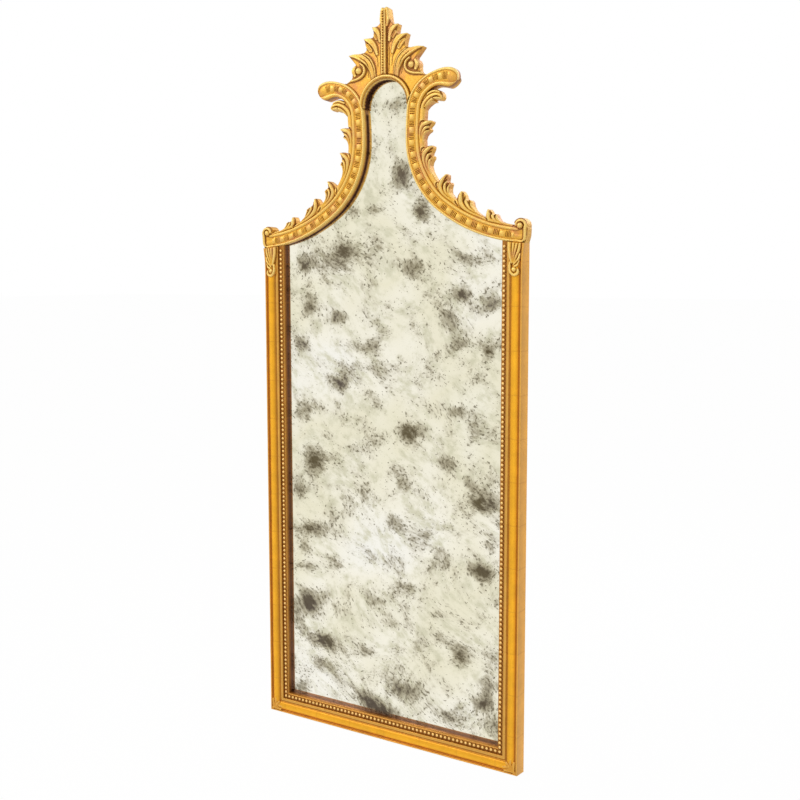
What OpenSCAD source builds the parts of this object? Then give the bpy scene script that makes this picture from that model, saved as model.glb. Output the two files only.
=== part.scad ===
// Pier mirror: a gilt moulded frame with a bell-shaped top, C-scroll rails and a carved acanthus crest.
// x runs to the right, z up; y = 0 is the wall, and the front looks towards -y. Millimetres.

/* [Frame] */
// Width over the front outer edges
frame_w = 608; // [500:1:760]
// Depth of the moulding, front to back
frame_d = 30; // [26:0.5:40]
// How far each side face leans out towards the back
flare = 4; // [0:0.5:8]
// Width of the moulding, outer edge to sight edge
mould_w = 46; // [40:0.5:60]
// Gap to the wall, which is the thickness of the bumpers
wall_gap = 6; // [6:0.5:10]

/* [Scroll] */
// Width of the glass at the neck
neck_w = 96.7; // [80:0.1:140]
// Height of the neck's narrowest place
neck_z = 1293; // [1100:1:1500]
// Radius of the long lower sweep
sweep_r = 332.6; // [280:0.1:380]
// Radius of the bend into the neck
bend_r = 188.3; // [160:0.1:220]
// Slope where the sweep meets the bend
join_a = 37; // [34:0.5:40]
// Radius of the nearly straight neck
neck_r = 701.8; // [500:0.1:900]
// Turn of the neck
neck_a = 4.7; // [3:0.1:6]
// Radius of the ear
ear_r = 78.3; // [70:0.1:90]
// Direction of the ear's end from its centre
ear_a = 74; // [66:1:90]
// Width of the scroll rail
rail_w = 30; // [28:0.5:36]

// Distance of the scroll's foot in from the outer edge
foot_u = 21; // [18:0.5:24]

/* [Crest] */
// Width of the arch moulding over the glass
arch_w = 10; // [8:0.5:14]
// Height of the arch's centre above the neck's narrowest place
arch_up = 72; // [60:1:90]
// Height of the crest above the arch's centre
crest_h = 195; // [160:1:240]

/* [Beads] */
// Spacing of the beads
bead_pitch = 9.6; // [8:0.05:12]
// Radius of a bead
bead_r = 3.7; // [3:0.1:4.4]
// Distance of the bead row from the outer edge
bead_u = 39.2; // [37.6:0.1:39.6]

/* [Glass and back] */
// Depth of the glass behind the front
glass_v = 22; // [18:0.5:24]
// Thickness of the glass
glass_t = 3; // [2:0.5:4]
// Thickness of the backing boards
board_t = 2.8; // [2:0.1:4]
// Height of the joint between the two boards
board_z = 1040; // [600:10:1060]

/* [Hangers] */
// Distance of each hanger in from the outer edge
hang_u = 18; // [14:0.5:24]
// Height of the rings' hinge bars
hang_z = 935; // [600:5:1000]

/* [Hidden] */
front = wall_gap + frame_d;
half_w = frame_w / 2;
half_neck = neck_w / 2;
lip = 8;
gap = 0.3;
sight_x = half_w - mould_w;
// Centres of the scroll's four arcs, from the neck downwards and upwards
bend_c = [half_neck + bend_r, neck_z];
sweep_c = bend_c + (sweep_r - bend_r) * [sin(join_a), cos(join_a)];
neck_c = [half_neck + neck_r, neck_z];
ear_c = neck_c + (neck_r - ear_r) * [-cos(neck_a), sin(neck_a)];
// Where the sweep meets the volute, by direction from the sweep's centre and by height
foot_a = 180 + acos((sweep_c[0] - half_w + foot_u) / sweep_r);
shoulder_z = sweep_c[1] + sweep_r * sin(foot_a);
// Lengths along the scroll's glass-side edge to the end of each arc
rad = PI / 180;
s_sweep = sweep_r * (foot_a - 270 + join_a) * rad;
s_bend = s_sweep + bend_r * (90 - join_a) * rad;
s_neck = s_bend + neck_r * neck_a * rad;
s_ear = s_neck + ear_r * (180 - neck_a - ear_a) * rad;
arch_r = half_neck + 1.65;
arch_z = neck_z + arch_up;
eye_c = [half_w - 5.5, shoulder_z + 33.1];
eye_r = 14.5;
dowel_x = [half_w - 13, half_w - 2];
hang_x = half_w - hang_u;
knuckle_r = 2.6;
hang_y = -wall_gap + knuckle_r;
ring_w = 19;

gilt = [0.87, 0.60, 0.19];
worn_gilt = [0.80, 0.53, 0.22];
pearl_gilt = [0.93, 0.70, 0.32];
wood = [0.62, 0.47, 0.31];
steel = [0.55, 0.54, 0.50];

// Section of the straight moulding: [distance in from the outer edge, depth behind the front]
mould = [[-flare, frame_d], [0, 0.6], [0.6, 0], [2.6, 0], [3.2, 0.7], [4, 3], [6, 3.4], [7.2, 1.9],
    [9.5, 0.8], [13, 0.2], [16.5, 0.2], [20, 0.9], [22.4, 2.2], [24, 4.6], [26, 5], [27, 3.6],
    [28, 3.1], [31.5, 3.1], [32.8, 3.8], [33.6, 8], [43.6, 8], [44.8, 9.6],
    [mould_w, 13], [mould_w, glass_v], [mould_w - lip, glass_v], [mould_w - lip, frame_d]];

// Section of the scroll rail: [distance out from the glass-side edge, depth behind the front]
rail = [[0, glass_v], [0, 7], [0.7, 4.6], [2.4, 2.8], [4.6, 2.2], [6.8, 2.8], [8, 4.6], [9.4, 5],
    [10, 3.6], [11, 3.3], [11.8, 5], [21, 5], [21.8, 3.2], [23.4, 2], [26, 1.8], [28.4, 3.4],
    [rail_w, 6.5], [rail_w, frame_d], [lip, frame_d], [lip, glass_v]];

// A point of an arc, and a row of points on it
function on_arc(c, r, a) = c + r * [cos(a), sin(a)];
function arc_row(c, r, a0, a1, n) = [for (i = [0:n]) on_arc(c, r, a0 + (a1 - a0) * i / n)];

// Direction from the arc's centre at a length s along the scroll
function turn(s) =
    s < s_sweep ? foot_a - s / sweep_r / rad
    : s < s_bend ? 270 - join_a - (s - s_sweep) / bend_r / rad
    : s < s_neck ? 180 - (s - s_bend) / neck_r / rad
    : 180 - neck_a - (s - s_neck) / ear_r / rad;

// The place at a length s along the scroll and a distance q out from its glass-side edge
function along(s, q) =
    s < s_sweep ? on_arc(sweep_c, sweep_r - q, turn(s))
    : s < s_bend ? on_arc(bend_c, bend_r - q, turn(s))
    : s < s_neck ? on_arc(neck_c, neck_r - q, turn(s))
    : on_arc(ear_c, ear_r - q, turn(s));

// A slab of a flat outline between two depths behind the front
module slab(v0, v1) {
    rotate([90, 0, 0]) translate([0, 0, front - v1]) linear_extrude(v1 - v0) children();
}

// A round post standing out of the face, from depth v1 up to v0
module post(c, r, v0, v1) {
    translate([c[0], v1 - front, c[1]]) rotate([90, 0, 0]) cylinder(h = v1 - v0, r = r, $fn = 48);
}

module both_sides() {
    children();
    mirror([1, 0, 0]) children();
}

// ---- straight mouldings ----

module mitre_cut() {
    far = 2 * half_w;
    slab(-10, frame_d + 10)
        polygon([[half_w + far, flare - far], [half_w - far, flare + far], [half_w - far, flare - far]]);
}

module spline_blank(side = 1) {
    translate([side * (half_w - 20), 13.5 - front, flare + 20]) rotate([0, side * 45, 0])
        cube([30, 3, 18], center = true);
}

module dowel_pin(x, z, v, r, len) {
    translate([x, v - front, z - len / 2]) cylinder(h = len, r = r, $fn = 32);
}

module strap_screw(z, r, len) {
    translate([hang_x, -wall_gap, z]) rotate([90, 0, 0]) cylinder(h = len, r = r, $fn = 24);
}

module stile() {
    top = sweep_c[1] - sqrt(pow(sweep_r, 2) - pow(sweep_c[0] - sight_x, 2)) + 4;
    difference() {
        linear_extrude(top) polygon([for (p = mould) [half_w - p[0], p[1] - front]]);
        mitre_cut();
        spline_blank();
        slab(-5, frame_d + 5) translate(sweep_c) circle(r = sweep_r + 0.2, $fn = 360);
        for (x = dowel_x) dowel_pin(x, shoulder_z, 17, 3, 44);
        for (k = [14, 24]) strap_screw(hang_z - k, 1.3, 15);
    }
}

module left_stile() { color(gilt) mirror([1, 0, 0]) stile(); }
module right_stile() { color(gilt) stile(); }

module bottom_rail() {
    color(gilt) difference() {
        rotate([90, 0, 90]) translate([0, 0, -half_w - flare]) linear_extrude(2 * (half_w + flare))
            polygon([for (p = mould) [p[1] - front, flare + p[0]]]);
        both_sides() slab(-10, frame_d + 10)
            polygon([[half_w + 50, flare - 50], [half_w - 100, flare + 100], [half_w + 50, flare + 100]]);
        both_sides() spline_blank();
    }
}

// ---- scroll rails, volutes and arch ----

// One ring of the scroll rail's section at length s, narrowed by k and sunk by d where the ear ends
function rail_ring(s, k = 1, d = 0) = [for (p = rail)
    let (c = along(s, rail_w / 2 + (p[0] - rail_w / 2) * k))
    [c[0], p[1] + (p[1] < glass_v ? d : 0) - front, c[1]]];

module scroll() {
    ends = [for (a = [15:15:90]) [s_ear + 18 * sin(a), max(cos(a), 0.12), 5 * (1 - cos(a))]];
    stations = concat([for (s = [0:14.5:s_sweep - 4]) s],
        [for (i = [0:13]) s_sweep + (s_bend - s_sweep) * i / 13],
        [for (i = [1:3]) s_bend + (s_neck - s_bend) * i / 3],
        [for (i = [1:14]) s_neck + (s_ear - s_neck) * i / 14]);
    rings = concat([for (s = stations) rail_ring(s)], [for (e = ends) rail_ring(e[0], e[1], e[2])]);
    n = len(rail);
    m = len(rings);
    polyhedron(points = [for (r = rings) for (p = r) p],
        faces = concat(
            [[for (i = [0:n - 1]) i]],
            [[for (i = [n - 1:-1:0]) (m - 1) * n + i]],
            [for (j = [0:m - 2]) for (i = [0:n - 1]) [j * n + i, (j + 1) * n + i, j * n + (i + 1) % n]],
            [for (j = [0:m - 2]) for (i = [0:n - 1])
                [(j + 1) * n + i, (j + 1) * n + (i + 1) % n, j * n + (i + 1) % n]]),
        convexity = 8);
}

module left_scroll() { color(worn_gilt) mirror([1, 0, 0]) scroll(); }
module right_scroll() { color(worn_gilt) scroll(); }

// What the volute stands clear of: the foot of the scroll rail
module scroll_foot() {
    slab(-5, frame_d + 5) polygon(concat([for (s = [0:8:64]) along(s, -2)],
        [for (s = [64:-8:0]) along(s, rail_w + 0.2)]));
}

module volute() {
    start = on_arc(sweep_c, sweep_r, foot_a);
    back = on_arc(sweep_c, sweep_r - rail_w, foot_a);
    difference() {
        union() {
            slab(2.5, frame_d) difference() {
                union() {
                    polygon([start, [half_w + 2, start[1] - 4], [half_w + 4.5, start[1] + 1],
                        [half_w + 7, start[1] + 12], [half_w + 8.6, eye_c[1]],
                        [eye_c[0], eye_c[1] + eye_r - 0.5], back]);
                    translate(eye_c) circle(r = eye_r, $fn = 96);
                }
                difference() {
                    translate([half_w - 60, start[1] - 40]) square([90, 60]);
                    translate(sweep_c) circle(r = sweep_r, $fn = 360);
                }
            }
            post(eye_c, 12.5, 0.8, 3);
        }
        scroll_foot();
        rotate([90, 0, 0]) translate([eye_c[0], eye_c[1], front - 2.4])
            rotate_extrude($fn = 72) polygon([[6.6, 0], [9.6, 0], [9.6, 4], [6.6, 4]]);
        for (x = dowel_x) dowel_pin(x, shoulder_z, 17, 3, 44);
    }
}

module left_volute() { color(gilt) mirror([1, 0, 0]) volute(); }
module right_volute() { color(gilt) volute(); }

module crest_arch() {
    r = arch_r;
    w = arch_w;
    color(gilt) difference() {
        rotate([90, 0, 0]) translate([0, arch_z, 0]) rotate_extrude(angle = 180, $fn = 180)
            polygon([[r, front - glass_v], [r, front - 7], [r + 0.8, front - 4.4], [r + 2.4, front - 3.6],
                [r + 3.4, front - 4.6], [r + 4.2, front - 3.2], [r + 6, front - 1.6], [r + 8, front - 1.8],
                [r + w - 0.8, front - 3.4], [r + w, front - 6], [r + w, front - frame_d],
                [r + lip, front - frame_d], [r + lip, front - glass_v]]);
        both_sides() slab(-5, frame_d + 5) translate(ear_c) circle(r = ear_r + 0.2, $fn = 180);
        both_sides() dowel_pin(16, arch_z + arch_r + 8, 15, 3, 22);
    }
}

// ---- carved pieces ----

// A raised rib through a list of [x, z, depth, radius]
module rib(row) {
    for (i = [0:len(row) - 2]) hull() for (p = [row[i], row[i + 1]])
        translate([p[0], p[2] - front, p[1]]) sphere(r = p[3], $fn = 8);
}

// Half of the crest's outline: [distance from the centre line, height above the arch's centre]
crest_edge = [[0, 1], [0.028, 0.998], [0.042, 0.985], [0.047, 0.955], [0.055, 0.9], [0.06, 0.865],
    [0.07, 0.836], [0.1, 0.816], [0.155, 0.813], [0.142, 0.765], [0.136, 0.724], [0.155, 0.706],
    [0.2, 0.702], [0.258, 0.705], [0.236, 0.632], [0.228, 0.585], [0.252, 0.563], [0.315, 0.556],
    [0.385, 0.56], [0.447, 0.55], [0.395, 0.488], [0.366, 0.455], [0.36, 0.437], [0.39, 0.416],
    [0.404, 0.385], [0.4, 0.345], [0.408, 0.308], [0.432, 0.278], [0.475, 0.262], [0.53, 0.268]];

module crest_side() {
    slab(9, 26) polygon(concat([for (p = crest_edge) p * crest_h + [0, arch_z]],
        [[0.53 * crest_h, arch_z], [0, arch_z]]));
}

// What the crest stands clear of: the arch and the two ears
module crest_seat() {
    slab(-12, frame_d + 2) {
        translate([0, arch_z]) circle(r = arch_r + arch_w + 0.2, $fn = 90);
        translate([-0.6 * crest_h, arch_z - 30]) square([1.2 * crest_h, 30]);
        both_sides() translate(ear_c) circle(r = ear_r + 0.2, $fn = 90);
    }
}

module crest_lobes() {
    k = crest_h;
    lobes = [
        [[0.07, 0.33, 8, 5], [0.15, 0.45, 5, 6], [0.26, 0.53, 4, 5], [0.37, 0.545, 4, 3],
            [0.43, 0.545, 7, 1.5]],
        [[0.06, 0.42, 8, 5], [0.1, 0.56, 5, 6], [0.16, 0.66, 4, 4.5], [0.215, 0.688, 4, 2.6],
            [0.25, 0.694, 7, 1.4]],
        [[0.05, 0.56, 8, 4.5], [0.07, 0.7, 5, 5], [0.105, 0.78, 4, 3.6], [0.148, 0.802, 7, 1.4]],
        [[0.14, 0.31, 8, 5], [0.24, 0.36, 6, 5.5], [0.32, 0.36, 5, 5], [0.35, 0.385, 5, 4.6],
            [0.335, 0.405, 6, 3]],
        [[0.3, 0.3, 8, 4], [0.4, 0.285, 8, 3.4], [0.48, 0.275, 9, 2]]];
    for (row = lobes) rib([for (p = row) [p[0] * k, p[1] * k + arch_z, p[2], p[3]]]);
}

module crest_palmette() {
    color(worn_gilt) difference() {
        union() {
            both_sides() {
                crest_side();
                crest_lobes();
            }
            rib([for (t = [[0.315, 3.4], [0.6, 4.2], [0.86, 5.4], [0.955, 5.8]])
                [0, t[0] * crest_h + arch_z, 9 - t[1] * 0.5, t[1]]]);
        }
        crest_seat();
        both_sides() dowel_pin(16, arch_z + arch_r + 8, 15, 3.1, 22);
    }
}

// The acanthus leaves of one scroll: [length at the tip, length of the leaf, height of the leaf]
leaves = [[72, 44, 17], [154, 66, 20], [222, 56, 25], [320, 62, 19], [381, 38, 18]];
leaf_shape = [[-1, 0], [-0.64, 0.4], [-0.54, 0.68], [-0.45, 0.74], [-0.37, 0.6], [-0.2, 0.86],
    [-0.05, 1], [0.03, 0.95], [0.06, 0.5], [0.04, 0]];
function stem_q(s) = rail_w + 4 + 6 * min(1, max(0, s - 60) / 90);

module leaf_run_outline() {
    last = s_neck + 4;
    polygon(concat(
        [for (s = [6:18:last]) along(s, rail_w + gap)],
        [for (q = [rail_w + gap:4:44]) along(last, q)],
        [for (i = [len(leaves) - 1:-1:0]) for (j = [len(leaf_shape) - 1:-1:0])
            let (s = leaves[i][0] + leaf_shape[j][0] * leaves[i][1])
            along(s, stem_q(s) + leaf_shape[j][1] * leaves[i][2])],
        [along(6, rail_w + 3.5)]));
}

// The leaf under the ear, by length along the ear and distance out from the glass-side edge
ear_leaf = [[0, 40], [12, 44], [26, 48], [44, 52], [60, 56.5], [62, 52], [80, 57], [104, 60], [122, 56],
    [120, 49], [110, 42], [96, 37], [80, 33], [64, 31]];

module ear_leaf_outline() {
    polygon(concat([for (p = ear_leaf) along(s_neck + p[0], p[1])],
        [for (s = [60:-12:0]) along(s_neck + s, rail_w + gap)]));
}

module leaf_run() {
    slab(10, 26) leaf_run_outline();
    slab(10, 26) ear_leaf_outline();
    for (f = leaves) {
        s = f[0];
        n = f[1];
        h = f[2];
        b = stem_q(s);
        rib([for (t = [[-1.05, -0.1, 10, 2.6], [-0.55, 0.3, 7, 4], [-0.22, 0.62, 6, 3.6],
            [-0.02, 0.86, 8, 2]])
            let (p = along(s + t[0] * n, b + t[1] * h)) [p[0], p[1], t[2], t[3]]]);
        rib([for (t = [[-0.8, 0, 10, 2.2], [-0.5, 0.56, 8, 2.6]])
            let (p = along(s + t[0] * n, b + t[1] * h)) [p[0], p[1], t[2], t[3]]]);
    }
    rib([for (t = [[-30, 36, 9, 2.6], [14, 37, 7, 4], [50, 43, 6, 5], [84, 48, 5, 5], [108, 51, 8, 3]])
        let (p = along(s_neck + t[0], t[1])) [p[0], p[1], t[2], t[3]]]);
}

module left_leaves() { color(worn_gilt) mirror([1, 0, 0]) leaf_run(); }
module right_leaves() { color(worn_gilt) leaf_run(); }

module drop() {
    x = half_w - 15;
    z = sweep_c[1] - sweep_r - 8;
    slab(-0.5, 3) polygon([[x - 11, z + 5], [x + 11, z + 3], [x + 11, z - 14], [x + 7, z - 30],
        [x + 8, z - 44], [x, z - 62], [x - 7, z - 44], [x - 6, z - 30], [x - 11, z - 14]]);
    for (k = [-1:1])
        rib([[x + k * 8, z + 1, 0.5, 2.2], [x + k * 5.5, z - 18, -0.6, 2.4], [x + k * 1.5, z - 34, 0, 1.8]]);
    rib([[x - 6, z - 38, 0, 2], [x - 5, z - 46, -0.4, 2.4], [x, z - 50, -0.4, 2.4]]);
    rib([[x, z - 50, 0, 2.2], [x, z - 60, 0.6, 1.4]]);
    translate([x + 1.5, -front - 0.2, z - 42]) sphere(r = 4.6, $fn = 12);
}

module left_drop() { color(worn_gilt) mirror([1, 0, 0]) drop(); }
module right_drop() { color(worn_gilt) drop(); }

module corner_leaf() {
    x = half_w - 4;
    z = flare + 4;
    rib([[x - 2, z + 2, 1.6, 2], [x - 10, z + 10, 0.6, 3.4], [x - 20, z + 20, 2.2, 1.8]]);
    for (k = [0, 1]) {
        rib([[x - 4, z + 4, 1.6, 2], [x - 6 - 8 * k, z + 14 - 8 * k, 0.8, 2.8],
            [x - 7 - 18 * k, z + 25 - 18 * k, 1.2, 2]]);
        rib([[x - 8, z + 8, 1.4, 2], [x - 11 - 7 * k, z + 18 - 7 * k, 0.8, 2.4],
            [x - 13 - 14 * k, z + 27 - 14 * k, 1.6, 1.5]]);
    }
    rib([[x - 12, z + 12, 1, 2.4], [x - 15, z + 15, 1, 2.6]]);
}

module left_corner_leaf() { color(worn_gilt) mirror([1, 0, 0]) corner_leaf(); }
module right_corner_leaf() { color(worn_gilt) corner_leaf(); }

// ---- beads ----

// A ball with a flat on the channel's floor
module bead(p) {
    translate([p[0], 7.6 - front, p[1]]) rotate([90, 0, 0]) difference() {
        sphere(r = bead_r, $fn = 32);
        translate([0, 0, -bead_r - 0.4]) cube([3 * bead_r, 3 * bead_r, 2 * bead_r], center = true);
    }
}

bead_x = half_w - bead_u;
bead_z = flare + bead_u;
rail_beads = floor(2 * bead_x / bead_pitch);
stile_beads = floor((sweep_c[1] - sweep_r - bead_r - bead_z) / bead_pitch);

module stile_string() {
    for (i = [0:stile_beads]) bead([bead_x, bead_z + i * bead_pitch]);
}

module left_beads() { color(pearl_gilt) mirror([1, 0, 0]) stile_string(); }
module right_beads() { color(pearl_gilt) stile_string(); }

module bottom_beads() {
    step = 2 * bead_x / (rail_beads + 1);
    color(pearl_gilt) for (i = [1:rail_beads]) bead([i * step - bead_x, bead_z]);
}

// ---- glass and back ----

// Outline of what lies behind the sight edge, m beyond it on every side
module sight_outline(m) {
    x = sight_x + m;
    a = 180 + acos((sweep_c[0] - x) / (sweep_r - m));
    half = concat([[x, flare + mould_w - m]],
        arc_row(sweep_c, sweep_r - m, a, 270 - join_a, 10),
        arc_row(bend_c, bend_r - m, 270 - join_a - 3, 180, 12),
        arc_row(neck_c, neck_r - m, 179, 180 - neck_a, 3),
        arc_row([0, arch_z], arch_r + m, 0, 90, 10));
    polygon(concat(half, [for (i = [len(half) - 2:-1:0]) [-half[i][0], half[i][1]]]));
}

module mirror_glass() {
    color([0.93, 0.92, 0.86]) slab(glass_v + 0.05, glass_v + glass_t) sight_outline(6);
}

module silvering() {
    color([0.45, 0.42, 0.38]) slab(glass_v + glass_t, glass_v + glass_t + 0.3) sight_outline(5);
}

board_v = glass_v + glass_t + 0.4;

module board(z0, z1) {
    slab(board_v, board_v + board_t) intersection() {
        sight_outline(7);
        translate([-half_w, z0]) square([2 * half_w, z1 - z0]);
    }
}

module lower_board() { color(wood) board(0, board_z - 0.5); }
module upper_board() { color(wood) board(board_z + 0.5, 2000); }

// A headless nail lying on the board, driven into the rabbet's wall along direction a
module brad(p, a) {
    translate([p[0], board_v + board_t + 0.85 - front, p[1]]) rotate([0, -a, 0]) rotate([0, 90, 0])
        translate([0, 0, -7]) cylinder(h = 14, r = 0.75, $fn = 16);
}

module board_brads() {
    low = flare + mould_w + 90;
    color(steel) {
        for (k = [-0.7, -0.23, 0.23, 0.7]) brad([k * sight_x, flare + mould_w - lip], 90);
        both_sides() for (i = [0:5]) brad([sight_x + lip, low + (shoulder_z - 88 - low) * i / 5], 0);
        both_sides() for (k = [0.15, 0.37, 0.6, 0.82]) brad(along(k * s_neck, lip), turn(k * s_neck) - 180);
    }
}

module mitre_splines() { color(wood) both_sides() spline_blank(); }

module shoulder_dowels() {
    color(wood) both_sides() for (x = dowel_x) dowel_pin(x, shoulder_z, 17, 3, 40);
}

module crest_dowels() {
    color(wood) both_sides() dowel_pin(16, arch_z + arch_r + 8, 15, 3, 19);
}

// ---- hangers and bumpers ----

module strap() {
    y = -wall_gap;
    difference() {
        union() {
            translate([hang_x - 7, y, hang_z - 30]) cube([14, 1.1, 30]);
            translate([hang_x - 5.5, hang_y, hang_z]) rotate([0, 90, 0])
                cylinder(h = 11, r = knuckle_r, $fn = 48);
        }
        translate([hang_x - 8, hang_y, hang_z]) rotate([0, 90, 0]) cylinder(h = 16, r = 1.4, $fn = 48);
        for (k = [14, 24]) translate([hang_x, y + 1.2, hang_z - k]) rotate([90, 0, 0]) {
            cylinder(h = 2, r = 1.9, $fn = 32);
            cylinder(h = 0.8, r1 = 3.2, r2 = 1.9, $fn = 32);
        }
    }
}

module left_strap() { color(steel) mirror([1, 0, 0]) strap(); }
module right_strap() { color(steel) strap(); }

module ring() {
    leg = 7;
    translate([hang_x, hang_y, hang_z]) {
        translate([-ring_w / 2 - 1.6, 0, 0]) rotate([0, 90, 0]) cylinder(h = ring_w + 3.2, r = 1.3, $fn = 48);
        for (s = [-1, 1]) translate([s * ring_w / 2, 0, -leg]) cylinder(h = leg, r = 1.1, $fn = 48);
        translate([0, 0, -leg]) rotate([90, 0, 0]) rotate([0, 0, 180])
            rotate_extrude(angle = 180, $fn = 72) translate([ring_w / 2, 0]) circle(r = 1.1, $fn = 24);
    }
}

module left_ring() { color(steel) mirror([1, 0, 0]) ring(); }
module right_ring() { color(steel) ring(); }

module hanger_screws() {
    color(steel) both_sides() for (k = [14, 24]) {
        strap_screw(hang_z - k, 1.3, 14);
        translate([hang_x, -wall_gap + 1.1, hang_z - k]) rotate([90, 0, 0]) {
            cylinder(h = 1.1, r = 1.8, $fn = 32);
            cylinder(h = 0.7, r1 = 3, r2 = 1.8, $fn = 32);
        }
    }
}

bumper_r = 7;

module wall_bumpers() {
    color([0.25, 0.2, 0.17]) both_sides() for (z = [30, shoulder_z - 48])
        translate([half_w - 18, -wall_gap, z]) rotate([-90, 0, 0])
            cylinder(h = wall_gap, r = bumper_r, $fn = 48);
}

left_stile();
right_stile();
bottom_rail();
left_scroll();
right_scroll();
left_volute();
right_volute();
crest_arch();
crest_palmette();
left_leaves();
right_leaves();
left_drop();
right_drop();
left_corner_leaf();
right_corner_leaf();
left_beads();
right_beads();
bottom_beads();
mirror_glass();
silvering();
lower_board();
upper_board();
board_brads();
mitre_splines();
shoulder_dowels();
crest_dowels();
left_strap();
right_strap();
left_ring();
right_ring();
hanger_screws();
wall_bumpers();
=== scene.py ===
import math
import bpy
import numpy as np
from mathutils import Matrix, Vector


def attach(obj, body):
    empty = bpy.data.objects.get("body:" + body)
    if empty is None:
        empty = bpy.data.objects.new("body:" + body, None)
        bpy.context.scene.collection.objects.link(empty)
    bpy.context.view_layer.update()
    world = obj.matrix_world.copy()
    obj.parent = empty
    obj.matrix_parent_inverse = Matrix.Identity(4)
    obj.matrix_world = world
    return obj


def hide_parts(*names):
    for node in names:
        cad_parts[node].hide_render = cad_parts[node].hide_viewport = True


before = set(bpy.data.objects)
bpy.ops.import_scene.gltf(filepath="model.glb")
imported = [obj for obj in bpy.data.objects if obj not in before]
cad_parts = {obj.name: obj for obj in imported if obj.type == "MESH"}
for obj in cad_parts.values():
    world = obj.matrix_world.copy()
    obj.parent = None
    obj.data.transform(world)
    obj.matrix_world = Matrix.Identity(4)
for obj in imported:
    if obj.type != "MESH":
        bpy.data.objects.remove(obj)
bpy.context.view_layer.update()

# Sizes are in millimetres in the row frame until a mesh is made: x right, y into the wall, z up.
# v is a depth behind the frame's front plane.

frameSize = {
    "halfWidth": 304.0,
    "front": 36.0,           # distance from the wall plane to the front plane
    "flare": 4.0,            # how far the sides lean out towards the back
    "mouldWidth": 46.0,
}

scrollPath = {
    "halfNeck": 48.35,
    "neckHeight": 1293.0,
    "sweepRadius": 332.6,
    "bendRadius": 188.3,
    "joinAngle": 37.0,
    "neckRadius": 701.8,
    "neckTurn": 4.7,
    "earRadius": 78.3,
    "earAngle": 74.0,
    "footAngle": 263.0,
    "width": 30.0,
}

arch = {
    "radius": 50.0,
    "width": 10.0,
    "height": 1365.0,
    # distance out from the glass-side edge, depth, 1 where the corner stays sharp
    "section": [
        (0.0, 22.0, 1), (0.0, 18.0, 0), (0.0, 14.0, 0), (0.0, 10.5, 0), (0.0, 7.0, 0), (0.8, 4.4, 0),
        (2.4, 3.6, 0), (3.4, 4.8, 0), (4.2, 3.2, 0), (6.0, 1.6, 0), (8.0, 1.8, 0), (9.2, 3.4, 0),
        (10.0, 6.0, 0), (10.0, 30.0, 1), (8.0, 30.0, 1), (8.0, 22.0, 1)],
    "notch": 7.0,            # mm between the notches of the inner bead
    "notchDepth": 1.7,
    "runIn": (0.07, 0.035),  # radians that the inner and the outer rings run into the scrolls
}


def hexColour(text):
    # sRGB hex to linear RGBA
    parts = [int(text[i:i + 2], 16) / 255 for i in (1, 3, 5)]
    return tuple(c / 12.92 if c <= 0.04045 else ((c + 0.055) / 1.055) ** 2.4 for c in parts) + (1.0,)


def addNode(tree, kind, settings=None, inputs=None):
    # settings are the node's own values, inputs its sockets: a socket is linked, anything else is set
    node = tree.nodes.new("ShaderNode" + kind)
    for name, value in (settings or {}).items():
        if name == "stops":
            ramp = node.color_ramp.elements
            while len(ramp) < len(value):
                ramp.new(1.0)
            for element, (place, colour) in zip(ramp, value):
                element.position = place
                element.color = hexColour(colour)
        else:
            setattr(node, name, value)
    for name, value in (inputs or {}).items():
        if isinstance(value, bpy.types.NodeSocket):
            tree.links.new(value, node.inputs[name])
        else:
            node.inputs[name].default_value = value
    return node


softRange = {"interpolation_type": "SMOOTHSTEP"}
colourMix = {"data_type": "RGBA"}


def newMaterial(name):
    material = bpy.data.materials.new(name)
    material.use_nodes = True
    material.node_tree.nodes.clear()
    return material, material.node_tree


def closeMaterial(material, shader):
    addNode(material.node_tree, "OutputMaterial", inputs={"Surface": shader.outputs[0]})
    return material


def smoothStep(low, high, value):
    t = np.clip((value - low) / (high - low), 0, 1)
    return t * t * (3 - 2 * t)


def waves(x, y, seed, size):
    # a smooth random field of about unit height, its bumps size across
    rng = np.random.default_rng(seed)
    total = np.zeros(np.broadcast(x, y).shape)
    for i in range(9):
        angle, phase = rng.uniform(0, 2 * math.pi, 2)
        k = 2 * math.pi / size * rng.uniform(0.6, 1.7)
        total = total + np.sin(k * (x * math.cos(angle) + y * math.sin(angle)) + phase)
    return total / 3


def arcCentres():
    p = scrollPath
    join = math.radians(p["joinAngle"])
    turn = math.radians(p["neckTurn"])
    bend = np.array([p["halfNeck"] + p["bendRadius"], p["neckHeight"]])
    sweep = bend + (p["sweepRadius"] - p["bendRadius"]) * np.array([math.sin(join), math.cos(join)])
    neck = np.array([p["halfNeck"] + p["neckRadius"], p["neckHeight"]])
    ear = neck + (p["neckRadius"] - p["earRadius"]) * np.array([-math.cos(turn), math.sin(turn)])
    return sweep, bend, neck, ear


sweepCentre, bendCentre, neckCentre, earCentre = arcCentres()
degree = math.pi / 180
sweepEnd = scrollPath["sweepRadius"] * (scrollPath["footAngle"] - 270 + scrollPath["joinAngle"]) * degree
bendEnd = sweepEnd + scrollPath["bendRadius"] * (90 - scrollPath["joinAngle"]) * degree
neckEnd = bendEnd + scrollPath["neckRadius"] * scrollPath["neckTurn"] * degree
earEnd = neckEnd + scrollPath["earRadius"] * (180 - scrollPath["neckTurn"] - scrollPath["earAngle"]) * degree


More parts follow.
